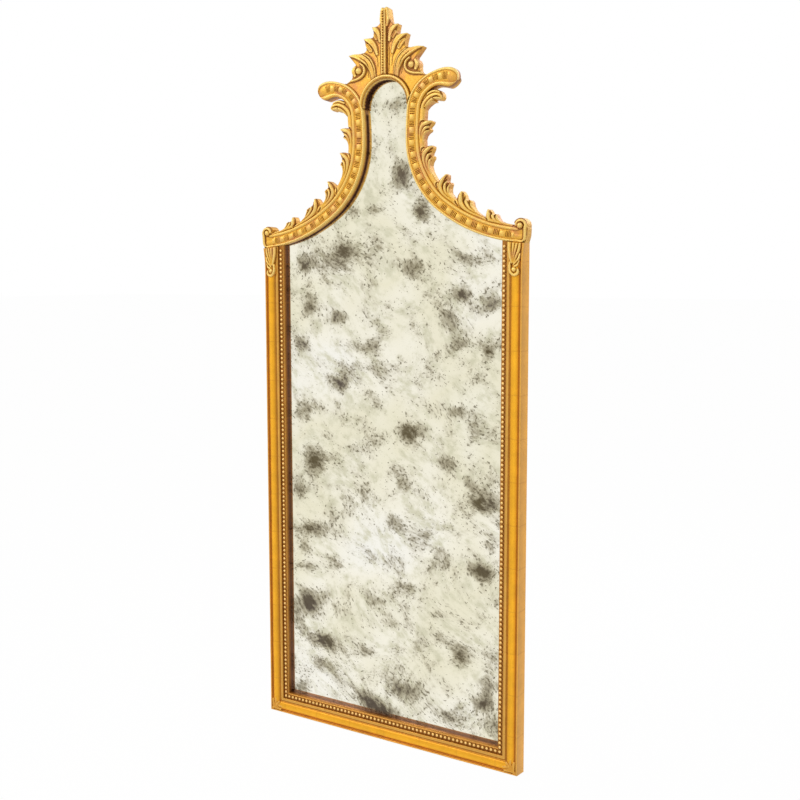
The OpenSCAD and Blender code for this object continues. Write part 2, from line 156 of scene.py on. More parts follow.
def along(s, q):
    # the place at length s up the right scroll and q out from its glass-side edge
    p = scrollPath
    s, q = np.broadcast_arrays(np.asarray(s, float), np.asarray(q, float))
    spans = [
        (s < sweepEnd, sweepCentre, p["sweepRadius"], p["footAngle"], 0.0),
        (s < bendEnd, bendCentre, p["bendRadius"], 270 - p["joinAngle"], sweepEnd),
        (s < neckEnd, neckCentre, p["neckRadius"], 180.0, bendEnd),
        (s >= neckEnd, earCentre, p["earRadius"], 180 - p["neckTurn"], neckEnd),
    ]
    x = np.select([c for c, *_ in spans], [
        centre[0] + (r - q) * np.cos(start * degree - (s - s0) / r) for _, centre, r, start, s0 in spans])
    z = np.select([c for c, *_ in spans], [
        centre[1] + (r - q) * np.sin(start * degree - (s - s0) / r) for _, centre, r, start, s0 in spans])
    return x, z


def buildPiece(name, parts, node, material, angle=38):
    # parts: list of (points in mm, quads, uv in mm, carve), carve being hollow, high ground and lit, 0 to 1,
    # which the gilding turns into painted shade, painted highlight and painted wall shade
    # faces that meet at more than angle degrees keep a sharp edge
    points = np.concatenate([p[0] for p in parts])
    starts = np.cumsum([0] + [len(p[0]) for p in parts])
    quads = np.concatenate([p[1] + start for p, start in zip(parts, starts)])
    uv = np.concatenate([p[2] for p in parts])
    carve = np.concatenate([p[3] for p in parts])
    mesh = bpy.data.meshes.new(name)
    mesh.from_pydata((points / 1000).tolist(), [], quads.tolist())
    layer = mesh.uv_layers.new(name="flow")
    corners = np.empty(len(mesh.loops), np.int32)
    mesh.loops.foreach_get("vertex_index", corners)
    layer.data.foreach_set("uv", (uv[corners] / 1000).astype(np.float32).ravel())
    colour = mesh.color_attributes.new(name="carve", type="FLOAT_COLOR", domain="POINT")
    colour.data.foreach_set("color", np.column_stack([carve, np.ones(len(carve))]).astype(np.float32).ravel())
    mesh.shade_smooth()
    mesh.set_sharp_from_angle(angle=math.radians(angle))
    obj = bpy.data.objects.new(name, mesh)
    bpy.context.scene.collection.objects.link(obj)
    mesh.materials.append(material)
    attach(obj, "frame")
    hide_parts(node)
    return obj


def paintBack(obj):
    # the hidden back and the rabbet are bare wood
    obj.data.materials.append(bareWood)
    for face in obj.data.polygons:
        if face.normal.y > 0.9:
            face.material_index = 1


def bothHands(name, parts, material, angle, ending="_carved", backed=True):
    # a right-hand piece and its left-hand twin, whose faces are turned the right way round
    twin = [(points * [-1, 1, 1], quads[:, ::-1], uv, carve) for points, quads, uv, carve in parts]
    for side, shapes in (("right_", parts), ("left_", twin)):
        obj = buildPiece(side + name + ending, shapes, side + name, material, angle)
        if backed:
            paintBack(obj)


def wrapGrid(rows, columns):
    # quads of a grid of points whose columns close into a ring
    i = np.arange(rows - 1)[:, None] * columns
    j = np.arange(columns)[None, :]
    after = (j + 1) % columns
    return np.stack([i + j, i + columns + j, i + columns + after, i + after], -1).reshape(-1, 4)


def softCorners(profile, radius=0.7):
    # an outline of [u, v, sharp] with every soft corner eased by three points
    out = []
    n = len(profile)
    for i, (u, v, sharp) in enumerate(profile):
        here = np.array([u, v])
        before = np.array(profile[i - 1][:2])
        after = np.array(profile[(i + 1) % n][:2])
        if sharp:
            out.append(here)
            continue
        inLength = np.linalg.norm(before - here)
        outLength = np.linalg.norm(after - here)
        a = here + (before - here) * min(radius, 0.4 * inLength) / inLength
        b = here + (after - here) * min(radius, 0.4 * outLength) / outLength
        out += [a, (a + b + 2 * here) / 4, b]
    return np.array(out)


def profileCavity(profile, reach=3.0):
    # how hollow and how proud each point of a section is
    u, v = profile[:, 0], profile[:, 1]
    around = []
    for a, b in zip(u, v):
        weight = np.exp(-((u - a) ** 2 + 0.1 * (v - b) ** 2) / reach ** 2)
        around.append((weight * v).sum() / weight.sum())
    hollow = np.clip((v - np.array(around)) / 2.0, 0, 1)
    proud = np.clip((np.array(around) - v) / 1.2, 0, 1)
    return hollow, proud


def insideOutline(px, pz, outline):
    inside = np.zeros(px.shape, bool)
    ends = np.roll(outline, -1, axis=0)
    for (a, b), (c, d) in zip(outline, ends):
        if b != d:
            inside ^= ((b > pz) != (d > pz)) & (px < (c - a) * (pz - b) / (d - b) + a)
    return inside


def nearestOnOutline(px, pz, outline, closed=True):
    best = np.full(px.shape, 1e9)
    nx = px.copy()
    nz = pz.copy()
    ends = np.roll(outline, -1, axis=0) if closed else outline[1:]
    for (a, b), (c, d) in zip(outline, ends):
        length = (c - a) ** 2 + (d - b) ** 2
        if length < 1e-9:
            continue
        t = np.clip(((px - a) * (c - a) + (pz - b) * (d - b)) / length, 0, 1)
        qx = a + t * (c - a)
        qz = b + t * (d - b)
        gap = (px - qx) ** 2 + (pz - qz) ** 2
        closer = gap < best
        best = np.where(closer, gap, best)
        nx = np.where(closer, qx, nx)
        nz = np.where(closer, qz, nz)
    return np.sqrt(best), nx, nz


def throughPoints(rows, steps):
    # a smooth curve through control rows of any width
    rows = np.array(rows, float)
    padded = np.vstack([2 * rows[0] - rows[1], rows, 2 * rows[-1] - rows[-2]])
    out = []
    for i in range(len(rows) - 1):
        p0, p1, p2, p3 = padded[i:i + 4]
        for t in np.linspace(0, 1, steps, endpoint=False):
            out.append(0.5 * (2 * p1 + (p2 - p0) * t + (2 * p0 - 5 * p1 + 4 * p2 - p3) * t * t
                              + (3 * p1 - p0 - 3 * p2 + p3) * t ** 3))
    out.append(rows[-1])
    return np.array(out)


def carveStroke(px, pz, field, rows, kind):
    # one gouge-cut form laid into the height field: rows of [x, z, half width, height]
    curve = throughPoints(rows, 6)
    reach = curve[:, 2].max() + 1
    near = ((px > curve[:, 0].min() - reach) & (px < curve[:, 0].max() + reach)
            & (pz > curve[:, 1].min() - reach) & (pz < curve[:, 1].max() + reach))
    if not near.any():
        return
    x, z = px[near], pz[near]
    ratio = np.full(x.shape, 9.0)
    signed = np.full(x.shape, 9.0)
    height = np.zeros(x.shape)
    for a, b in zip(curve[:-1], curve[1:]):
        dx, dz = b[0] - a[0], b[1] - a[1]
        length = dx * dx + dz * dz + 1e-9
        t = np.clip(((x - a[0]) * dx + (z - a[1]) * dz) / length, 0, 1)
        w = np.maximum(a[2] + t * (b[2] - a[2]), 0.3)
        gx, gz = x - a[0] - t * dx, z - a[1] - t * dz
        r = np.sqrt(gx * gx + gz * gz) / w
        closer = r < ratio
        ratio = np.where(closer, r, ratio)
        signed = np.where(closer, np.sign(gx * dz - gz * dx) * r, signed)
        height = np.where(closer, a[3] + t * (b[3] - a[3]), height)
    body = np.sqrt(np.clip(1 - ratio ** 2, 0, 1))
    if kind == "cup":
        # a spoon-shaped lobe: a rolled rim round a gouged hollow
        body = body * (0.42 + 0.58 * smoothStep(0.25, 0.8, ratio))
    if kind == "leaf":
        # a midrib groove and two gouged flutes on each side of it
        body = body * (1 - 0.30 * np.exp(-(signed / 0.13) ** 2) + 0.13 * np.cos(signed * 3.4 * math.pi))
    if kind == "pit":
        field[near] -= height * np.clip(1 - ratio ** 2, 0, 1)
        return
    field[near] = np.maximum(field[near], height * body)


def blurred(field, cells):
    # two passes of a box blur down and across the field
    cells = max(1, int(cells))
    kernel = np.ones(2 * cells + 1) / (2 * cells + 1)
    out = field
    for _ in range(2):
        for axis in (0, 1):
            out = np.apply_along_axis(
                lambda r: np.convolve(np.pad(r, cells, mode="edge"), kernel, "valid"), axis, out)
    return out


def carvedPart(outline, strokes, step, base, back, place, roll=2.6, drop=3.0, ground=0.0, extra=None,
               top=99.0, free=None):
    # A carved board: its outline, the relief of its strokes and its flat back.
    # base and back are depths v; place maps the outline's own (x, z) to the row frame's.
    # free is the open run of the outline that is rounded over, the whole of it if none is given.
    # roll is how far in the rounding reaches and drop how far it falls. ground is the relief of bare
    # ground, top the most relief, and extra changes the relief once the strokes are in.
    outline = np.array(outline, float)
    low = outline.min(axis=0) - step
    high = outline.max(axis=0) + step
    xs = np.arange(low[0], high[0] + step, step)
    zs = np.arange(low[1], high[1] + step, step)
    px, pz = np.meshgrid(xs, zs)
    inside = insideOutline(px, pz, outline)
    cell = inside[:-1, :-1] | inside[1:, :-1] | inside[:-1, 1:] | inside[1:, 1:]
    used = np.zeros(px.shape, bool)
    for rows in (slice(None, -1), slice(1, None)):
        for columns in (slice(None, -1), slice(1, None)):
            used[rows, columns] |= cell
    gap = np.zeros(px.shape)
    ux, uz = px[used], pz[used]
    distance, nx, nz = nearestOnOutline(ux, uz, outline)
    isIn = inside[used]
    if free is None:
        gap[used] = np.where(isIn, distance, 0)
    else:
        onX = np.where(isIn, ux, nx)
        onZ = np.where(isIn, uz, nz)
        gap[used] = nearestOnOutline(onX, onZ, np.array(free, float), False)[0]
    px[used] = np.where(isIn, ux, nx)
    pz[used] = np.where(isIn, uz, nz)
    field = np.full(px.shape, float(ground))
    for kind, rows in strokes:
        carveStroke(px, pz, field, rows, kind)
    if extra:
        field = extra(px, pz, field)
    wide = blurred(field, 2.6 / step)
    hollow = np.clip((wide - field) / 1.1, 0, 1)
    proud = np.clip((field - wide) / 0.9, 0, 1)
    e = np.clip(gap / roll, 0, 1)
    curve = np.sqrt(1 - (1 - e) ** 2)
    field = np.minimum(field, top)
    depth = base - field * (0.45 + 0.55 * curve) + drop * (1 - curve)
    wx, wz = place(px, pz)
    front = np.stack([wx, depth - frameSize["front"], wz], -1).reshape(-1, 3)
    rear = np.stack([wx, np.full(px.shape, back - frameSize["front"]), wz], -1).reshape(-1, 3)
    columns = px.shape[1]
    i, j = np.nonzero(cell)
    a = i * columns + j
    faces = np.stack([a, a + 1, a + columns + 1, a + columns], -1)
    count = px.size
    edges = np.concatenate([faces[:, [k, (k + 1) % 4]] for k in range(4)])
    keys = np.sort(edges, axis=1)
    _, first, number = np.unique(keys[:, 0] * count + keys[:, 1], return_index=True, return_counts=True)
    rim = edges[first[number == 1]]
    skirt = np.stack([rim[:, 1], rim[:, 0], rim[:, 0] + count, rim[:, 1] + count], -1)
    quads = np.concatenate([faces, skirt, faces[:, ::-1] + count])
    points = np.concatenate([front, rear])
    uv = np.stack([px, pz], -1).reshape(-1, 2)
    uv = np.concatenate([uv, uv])
    carve = np.stack([hollow, proud, np.ones(px.shape)], -1).reshape(-1, 3)
    # the rear points are painted a little darker, so that the side walls darken towards the back
    carve = np.concatenate([carve, np.tile([0.25, 0.0, 1.0], (count, 1))])
    # no painted shade from a cut runs down the side wall
    carve[np.unique(rim)] = (0.12, 0.1, 1.0)
    keep = np.unique(quads)
    fresh = np.full(2 * count, -1)
    fresh[keep] = np.arange(len(keep))
    return points[keep], fresh[quads], uv[keep], carve[keep]


print("tools ready")


gilding = {
    "lapSpacing": 87.0,      # mm between the overlaps of two gold leaves
    "gessoGrain": 0.9,       # mm, brush marks and fine pores of the gesso under the leaf
    "wearPatch": 38.0,       # mm, patches where handling thinned the leaf
    "toolMark": 7.0,         # mm, the facets that a gouge leaves
}


def burnishedGold(name, stops, length):
    # Water gilding, burnished: gold leaf over red clay on gesso.
    # The eye sees a warm orange-yellow sheen, faint lines where leaves overlap, red clay on worn places
    # and painted shade with some dirt in the hollows. stops run round the moulding's section, whose length is
    # in metres, and hold painted shade in its grooves.
    material, tree = newMaterial(name)
    flow = addNode(tree, "UVMap", {"uv_map": "flow"})
    split = addNode(tree, "SeparateXYZ", inputs={"Vector": flow.outputs["UV"]})
    place = addNode(tree, "TexCoord").outputs["Object"]
    carve = addNode(tree, "VertexColor", {"layer_name": "carve"})
    relief = addNode(tree, "SeparateColor", inputs={"Color": carve.outputs["Color"]})
    wander = addNode(tree, "TexNoise", inputs={
        "Vector": place, "Scale": 1000 / gilding["wearPatch"], "Detail": 6.0,
        "Roughness": 0.62}).outputs["Fac"]
    rub = addNode(tree, "TexNoise", inputs={
        "Vector": place, "Scale": 150.0, "Detail": 8.0, "Roughness": 0.7}).outputs["Fac"]
    grain = addNode(tree, "TexNoise", inputs={
        "Vector": place, "Scale": 1000 / gilding["gessoGrain"], "Detail": 4.0}).outputs["Fac"]
    zone = addNode(tree, "Math", {"operation": "DIVIDE"}, {0: split.outputs["Y"], 1: length})
    shake = addNode(tree, "Math", {"operation": "MULTIPLY_ADD"}, {
        0: wander, 1: 0.012, 2: zone.outputs[0]})
    bands = addNode(tree, "ValToRGB", {"stops": stops}, {"Fac": shake.outputs[0]})
    # lines where one leaf of gold laps over the next
    leaves = addNode(tree, "Math", {"operation": "DIVIDE"}, {
        0: split.outputs["X"], 1: gilding["lapSpacing"] / 1000})
    count = addNode(tree, "Math", {"operation": "MULTIPLY_ADD"}, {
        0: wander, 1: 0.10, 2: leaves.outputs[0]})
    turn = addNode(tree, "Math", {"operation": "FRACT"}, {0: count.outputs[0]})
    lap = addNode(tree, "MapRange", softRange, {
        "Value": turn.outputs[0], "From Min": 0.0, "From Max": 0.045, "To Min": 0.32, "To Max": 0.0})
    lapped = addNode(tree, "Mix", colourMix, {
        0: lap.outputs[0], 6: bands.outputs["Color"], 7: hexColour("#B9781C")})
    tone = addNode(tree, "MapRange", inputs={
        "Value": wander, "From Min": 0.3, "From Max": 0.7, "To Min": 0.86, "To Max": 1.10})
    colour = addNode(tree, "VectorMath", {"operation": "SCALE"}, {
        0: lapped.outputs[2], "Scale": tone.outputs[0]}).outputs[0]
    # painted shade with some dirt in the hollows, and red clay showing on rubbed high places
    hollowShadeAndDirt = addNode(tree, "Math", {"operation": "MULTIPLY"}, {0: relief.outputs["Red"], 1: 0.55})
    rubbed = addNode(tree, "MapRange", softRange, {
        "Value": rub, "From Min": 0.56, "From Max": 0.72, "To Min": 0.0, "To Max": 0.5})
    worn = addNode(tree, "Math", {"operation": "MULTIPLY"}, {0: rubbed.outputs[0], 1: wander})
    for mask, tint in ((hollowShadeAndDirt, "#7A430F"), (worn, "#A95A22")):
        colour = addNode(tree, "Mix", colourMix, {
            0: mask.outputs[0], 6: colour, 7: hexColour(tint)}).outputs[2]
    bump = addNode(tree, "Bump", inputs={"Height": grain, "Strength": 0.12, "Distance": 0.0004})
    gloss = addNode(tree, "MapRange", inputs={
        "Value": rub, "From Min": 0.3, "From Max": 0.7, "To Min": 0.30, "To Max": 0.46})
    shader = addNode(tree, "BsdfPrincipled", inputs={
        "Base Color": colour, "Metallic": 0.55, "Roughness": gloss.outputs[0],
        "Normal": bump.outputs["Normal"]})
    return closeMaterial(material, shader)


def mattGold(name, yellow="#E2AA36", pink="#CF8C48", pale="#F6D67E", cutShadeAndDirt="#8A5212", shine=0.42):
    # Oil gilding on carving, matt and worn: yellow gold in some patches and pinkish clay tan in others,
    # a painted highlight on the high ground, painted shade with some dirt in the cuts, with flecks of bare
    # clay.
    material, tree = newMaterial(name)
    place = addNode(tree, "TexCoord").outputs["Object"]
    carve = addNode(tree, "VertexColor", {"layer_name": "carve"})
    relief = addNode(tree, "SeparateColor", inputs={"Color": carve.outputs["Color"]})
    noise = {}
    for key, size, detail, rough in (("patch", gilding["wearPatch"], 5.0, 0.6), ("fleck", 4.0, 6.0, 0.7),
                                     ("tool", gilding["toolMark"], 3.0, 0.6),
                                     ("grain", gilding["gessoGrain"], 5.0, 0.65)):
        noise[key] = addNode(tree, "TexNoise", inputs={
            "Vector": place, "Scale": 1000 / size, "Detail": detail, "Roughness": rough}).outputs["Fac"]
    # painted shade, with some dirt, darkens the cuts and thins out towards the open ground
    inCut = addNode(tree, "Math", {"operation": "SUBTRACT"}, {0: relief.outputs["Red"], 1: 0.17})
    cut = addNode(tree, "Math", {"operation": "MULTIPLY_ADD"}, {
        0: noise["fleck"], 1: 0.35, 2: inCut.outputs[0]})
    # a painted highlight lightens the high ground
    ridge = addNode(tree, "Math", {"operation": "MULTIPLY"}, {0: relief.outputs["Green"], 1: 0.8})
    mask = {"pale": ridge.outputs[0]}
    for key, value, low, high, least, most in (
            ("pink", noise["patch"], 0.46, 0.66, 0.0, 1.0),
            ("cutShadeAndDirt", cut.outputs[0], 0.04, 0.72, 0.0, 0.92),
            ("bare", noise["fleck"], 0.60, 0.72, 0.0, 0.5),
            ("wall", relief.outputs["Blue"], 1.0, 0.0, 0.0, 1.0),
            ("gloss", noise["fleck"], 0.3, 0.7, shine - 0.08, shine + 0.14)):
        mask[key] = addNode(tree, "MapRange", softRange, {
            "Value": value, "From Min": low, "From Max": high, "To Min": least, "To Max": most}).outputs[0]
    # the wall beside the glass is stained, not gilded, and the lit channel paints it darker with depth as
    # painted shade
    colour = hexColour(yellow)
    for key, tint in (("pink", pink), ("pale", pale), ("cutShadeAndDirt", cutShadeAndDirt), ("bare", "#B8693A"),
                      ("wall", "#481F08")):
        colour = addNode(tree, "Mix", colourMix, {
            0: mask[key], 6: colour, 7: hexColour(tint)}).outputs[2]
    dents = addNode(tree, "Bump", inputs={
        "Height": noise["tool"], "Strength": 0.45, "Distance": 0.0007})
    bump = addNode(tree, "Bump", inputs={
        "Height": noise["grain"], "Strength": 0.35, "Distance": 0.0005, "Normal": dents.outputs["Normal"]})
    gloss = addNode(tree, "Math", {"operation": "MAXIMUM"}, {0: mask["gloss"], 1: mask["wall"]})
    shader = addNode(tree, "BsdfPrincipled", inputs={
        "Base Color": colour, "Metallic": 0.4, "Roughness": gloss.outputs[0],
        "Normal": bump.outputs["Normal"]})
    return closeMaterial(material, shader)


foxing = {
    "slant": 0.7,            # the smears run down to the right, radians from level
    "stretch": 0.68,         # how much shorter a smear is across than along
    "drift": 70.0,           # mm, over which the smears change direction
    "broad": 150.0,          # mm, over which the tint of the silvering changes
    "cloud": 30.0,           # mm across the clouds
    "dull": 17.0,            # mm across the dull patches of the clear silvering
    "ragged": 8.0,           # mm across the tongues that fray a blotch's edge
    "fleck": 3.6,            # mm between flecks
    "dot": 11.0,             # mm between pinholes
}


def agedMirror():
    # Old silvered glass: a warm pale mirror whose silvering has darkened in slanting smears,
    # each a brown-grey heart frayed into a soft grey haze, with flecks and pinholes strewn between.
    material, tree = newMaterial("aged silvered glass")
    place = addNode(tree, "TexCoord").outputs["Object"]
    carve = addNode(tree, "VertexColor", {"layer_name": "carve"})
    worn = addNode(tree, "SeparateColor", inputs={"Color": carve.outputs["Color"]}).outputs["Red"]
    drift = addNode(tree, "TexNoise", inputs={
        "Vector": place, "Scale": 500 / foxing["drift"], "Detail": 0.0})
    wandering = addNode(tree, "VectorMath", {"operation": "MULTIPLY_ADD"}, {
        0: drift.outputs["Color"], 1: (0.05, 0.0, 0.05), 2: place}).outputs[0]
    slanted = addNode(tree, "Mapping", {"vector_type": "TEXTURE"}, {
        "Vector": wandering, "Rotation": (0.0, foxing["slant"], 0.0),
        "Scale": (1.0, 1.0, foxing["stretch"])}).outputs["Vector"]
    noise = {}
    for key, vector, size, detail, rough in (("broad", place, foxing["broad"], 3.0, 0.5),
                                             ("cloud", slanted, foxing["cloud"], 6.0, 0.6),
                                             ("ragged", slanted, foxing["ragged"], 6.0, 0.7),
                                             ("fleck", slanted, foxing["fleck"], 3.0, 0.6),
                                             ("dull", slanted, foxing["dull"], 6.0, 0.65)):
        noise[key] = addNode(tree, "TexNoise", inputs={
            "Vector": vector, "Scale": 500 / size, "Detail": detail, "Roughness": rough}).outputs["Fac"]
    # how far the silvering has gone at each place, and the same with a frayed edge
    gone = addNode(tree, "Math", {"operation": "MULTIPLY_ADD"}, {0: worn, 1: 0.62, 2: -0.75})
    level = addNode(tree, "Math", {"operation": "MULTIPLY_ADD"}, {
        0: noise["cloud"], 1: 1.5, 2: gone.outputs[0]}).outputs[0]
    less = addNode(tree, "Math", {"operation": "SUBTRACT"}, {0: level, 1: 0.70})
    frayed = addNode(tree, "Math", {"operation": "MULTIPLY_ADD"}, {
        0: noise["ragged"], 1: 1.4, 2: less.outputs[0]}).outputs[0]
    # flecks crowd where the silvering is weak, and pinholes are strewn all over
    crowd = addNode(tree, "MapRange", softRange, {
        "Value": level, "From Min": -0.20, "From Max": 0.26, "To Min": 0.665, "To Max": 0.53})
    over = addNode(tree, "Math", {"operation": "SUBTRACT"}, {0: noise["fleck"], 1: crowd.outputs[0]})
    dots = addNode(tree, "TexVoronoi", {"feature": "F1"}, {
        "Vector": slanted, "Scale": 1000 / foxing["dot"], "Randomness": 1.0})
    pick = addNode(tree, "SeparateColor", inputs={"Color": dots.outputs["Color"]})
    reach = addNode(tree, "Math", {"operation": "MULTIPLY_ADD"}, {
        0: pick.outputs["Red"], 1: 0.30, 2: -0.15})
    within = addNode(tree, "Math", {"operation": "SUBTRACT"}, {
        0: reach.outputs[0], 1: dots.outputs["Distance"]})
    mask = {}
    for key, value, low, high, least, most in (
            ("tarnish", noise["dull"], 0.45, 0.70, 0.0, 0.8),
            ("haze", level, -0.10, 0.60, 0.0, 0.62),
            ("veil", frayed, 0.04, 0.46, 0.0, 0.62),
            ("heart", frayed, 0.36, 0.74, 0.0, 0.9),
            ("flecks", over.outputs[0], 0.0, 0.06, 0.0, 0.8),
            ("pins", within.outputs[0], 0.0, 0.05, 0.0, 0.85),
            ("gloss", frayed, 0.2, 0.7, 0.05, 0.32),
            ("metal", frayed, 0.2, 0.7, 1.0, 0.75)):
        mask[key] = addNode(tree, "MapRange", softRange, {
            "Value": value, "From Min": low, "From Max": high, "To Min": least, "To Max": most}).outputs[0]
    clean = addNode(tree, "ValToRGB", {"stops": [
        (0.30, "#F8F7F2"), (0.46, "#F6F2E2"), (0.58, "#ECE7CE"), (0.74, "#F6F3E4")]}, {"Fac": noise["broad"]})
    age = addNode(tree, "ValToRGB", {"stops": [
        (0.42, "#4F443E"), (0.58, "#554A2E")]}, {"Fac": noise["broad"]})
    colour = clean.outputs[0]
    for key, tint in (("tarnish", hexColour("#CECBAF")), ("haze", hexColour("#B5AD92")),
                      ("veil", hexColour("#90866B")), ("flecks", hexColour("#6E654F")),
                      ("pins", hexColour("#5F5642")), ("heart", age.outputs[0])):
        colour = addNode(tree, "Mix", colourMix, {0: mask[key], 6: colour, 7: tint}).outputs[2]
    shader = addNode(tree, "BsdfPrincipled", inputs={
        "Base Color": colour, "Metallic": mask["metal"], "Roughness": mask["gloss"]})
    return closeMaterial(material, shader)


def oldPine(name, light, dark, across=(1.0, 1.0, 9.0)):
    # Unfinished softwood, darkened with age: straight grain about 4 mm apart and a dry, dull surface.
    material, tree = newMaterial(name)
    place = addNode(tree, "TexCoord")
    stretch = addNode(tree, "Mapping", inputs={
        "Vector": place.outputs["Object"], "Scale": across})
    rings = addNode(tree, "TexNoise", inputs={
        "Vector": stretch.outputs["Vector"], "Scale": 1000 / 36, "Detail": 8.0, "Roughness": 0.65,
        "Distortion": 0.35})
    colour = addNode(tree, "ValToRGB", {"stops": [
        (0.32, dark), (0.5, light), (0.6, dark), (0.72, light)]}, {"Fac": rings.outputs["Fac"]})
    stain = addNode(tree, "TexNoise", inputs={
        "Vector": place.outputs["Object"], "Scale": 7.0, "Detail": 4.0})
    stained = addNode(tree, "MapRange", inputs={
        "Value": stain.outputs["Fac"], "From Min": 0.45, "From Max": 0.85, "To Min": 0.0, "To Max": 0.45})
    aged = addNode(tree, "Mix", colourMix, {
        0: stained.outputs[0], 6: colour.outputs["Color"], 7: hexColour("#4A3524")})
    bump = addNode(tree, "Bump", inputs={
        "Height": rings.outputs["Fac"], "Strength": 0.35, "Distance": 0.0008})
    shader = addNode(tree, "BsdfPrincipled", inputs={
        "Base Color": aged.outputs[2], "Roughness": 0.78, "Normal": bump.outputs["Normal"]})
    return closeMaterial(material, shader)


def dullSteel():
    # Zinc-plated steel hardware gone dull: grey with soft brown freckles, a broad weak shine.
    material, tree = newMaterial("dull plated steel")
    place = addNode(tree, "TexCoord")
    spots = addNode(tree, "TexNoise", inputs={
        "Vector": place.outputs["Object"], "Scale": 420.0, "Detail": 6.0, "Roughness": 0.7})
    colour = addNode(tree, "ValToRGB", {"stops": [
        (0.35, "#8C8A84"), (0.55, "#A5A29A"), (0.68, "#6E5A46")]}, {"Fac": spots.outputs["Fac"]})
    gloss = addNode(tree, "MapRange", inputs={
        "Value": spots.outputs["Fac"], "From Min": 0.3, "From Max": 0.7, "To Min": 0.34, "To Max": 0.6})
    shader = addNode(tree, "BsdfPrincipled", inputs={
        "Base Color": colour.outputs["Color"], "Metallic": 1.0, "Roughness": gloss.outputs[0]})
    return closeMaterial(material, shader)


def woolFelt():
    # Dark brown felt: short matted fibres, no shine.
    material, tree = newMaterial("wool felt")
    place = addNode(tree, "TexCoord")
    fibres = addNode(tree, "TexNoise", inputs={
        "Vector": place.outputs["Object"], "Scale": 1400.0, "Detail": 6.0, "Roughness": 0.8})
    colour = addNode(tree, "ValToRGB", {"stops": [
        (0.35, "#2B211B"), (0.65, "#4B3B30")]}, {"Fac": fibres.outputs["Fac"]})
    bump = addNode(tree, "Bump", inputs={
        "Height": fibres.outputs["Fac"], "Strength": 0.6, "Distance": 0.0006})
    shader = addNode(tree, "BsdfPrincipled", inputs={
        "Base Color": colour.outputs["Color"], "Roughness": 0.95, "Sheen Weight": 0.3,
        "Normal": bump.outputs["Normal"]})
    return closeMaterial(material, shader)


moulding = {
    # distance in from the outer edge, depth, 1 where the corner stays sharp
    "section": [
        (-4.0, 30.0, 1), (-0.1, 1.3, 0), (0.4, 0.1, 0), (2.4, 0.0, 0), (3.0, 0.6, 0), (3.8, 3.0, 0),
        (5.8, 3.5, 0), (7.0, 2.2, 0), (9.0, 0.9, 0), (12.5, 0.25, 0), (16.5, 0.25, 0), (20.0, 1.0, 0),
        (22.4, 2.3, 0), (23.8, 4.7, 0), (26.0, 5.1, 0), (26.9, 3.7, 0), (28.0, 3.15, 0),
        (31.6, 3.15, 0), (32.8, 3.8, 0), (33.5, 7.95, 1), (43.6, 7.95, 0), (44.8, 9.6, 0),
        (46.0, 13.0, 0), (46.0, 17.5, 0), (46.0, 20.0, 0), (46.0, 22.0, 1), (38.0, 22.0, 1), (38.0, 30.0, 1)],
    # distance in, depth, and the colour there: the gilding's own colour on the open faces, painted shade in
    # the grooves and the channel, and painted shade darkening down the wall beside the glass
    "coloursWithShade": [
        (2.4, 0.0, "#E6AC4A"), (3.8, 3.0, "#C4760F"), (6.0, 3.4, "#C6780F"), (9.0, 0.9, "#EFA51A"),
        (14.5, 0.25, "#FCB824"), (20.0, 1.0, "#EEA91C"), (23.8, 4.7, "#C6861A"), (26.0, 5.1, "#C07E1C"),
        (29.5, 3.15, "#E3AE4E"), (33.5, 7.95, "#B87A24"), (43.6, 7.95, "#B07222"), (44.8, 9.6, "#CC9440"),
        (46.0, 13.0, "#A46A24"), (46.0, 17.5, "#74400F"), (46.0, 20.0, "#2E0F04"), (46.0, 22.0, "#2A1006")],
    "wobble": 0.12,          # how far the worn face strays from straight
    "stationStep": 9.0,
}

section = softCorners(moulding["section"])
sectionRun = np.concatenate([[0], np.cumsum(np.linalg.norm(np.diff(section, axis=0), axis=1))])
sectionLength = sectionRun[-1]


def runAt(u, v):
    # the share of the way round the section at which it comes nearest to a distance in and a depth
    gap = np.abs(section[:, 0] - u) + 0.5 * np.abs(section[:, 1] - v)
    return float(sectionRun[np.argmin(gap)] / sectionLength)


mouldStopsWithShade = [(0.0, "#EEAC3E"), (runAt(-0.1, 1.3) - 0.015, "#F0B146")]
mouldStopsWithShade += [(runAt(u, v), colour) for u, v, colour in moulding["coloursWithShade"]]

burnished = burnishedGold("burnished water gilding", mouldStopsWithShade, sectionLength / 1000)
bareWood = oldPine("bare limewood back", "#A5815A", "#8A6642", (6.0, 6.0, 0.8))


def straightMoulding(start, end, place):
    # start(u) and end(u) are where the run begins and ends at each distance u of the section
    u = section[:, 0]
    v = section[:, 1]
    low = start(u)
    high = end(u)
    count = int((high - low).max() / moulding["stationStep"])
    t = np.linspace(0, 1, count + 1)[:, None]
    run = low + (high - low) * t
    uu = np.broadcast_to(u, run.shape)
    vv = np.broadcast_to(v, run.shape)
    face = (vv < 20) & (vv > 0.5)
    lift = moulding["wobble"] * waves(run, uu * 2, 5, 70.0) * face
    points = place(run, uu, vv + lift)
    hollow, proud = profileCavity(section)
    # painted shade darkens the inner wall beside the glass the deeper it goes
    deep = smoothStep(9, 20, v) * (u > 40)
    carve = np.stack([np.maximum(hollow, deep), proud, np.clip(1 - v / 10, 0, 1)], -1)
    carve = np.broadcast_to(carve, run.shape + (3,)).reshape(-1, 3)
    uv = np.stack([run, np.broadcast_to(sectionRun, run.shape)], -1).reshape(-1, 2)
    quads = wrapGrid(len(t), len(u))
    return points.reshape(-1, 3), quads, uv, carve


shoulder = {
    "spread": 3.8,           # the stile's front edge runs out to meet the volute's foot
    "height": 44.0,          # over this height
    "reach": 9.0,            # and this far across the front
}


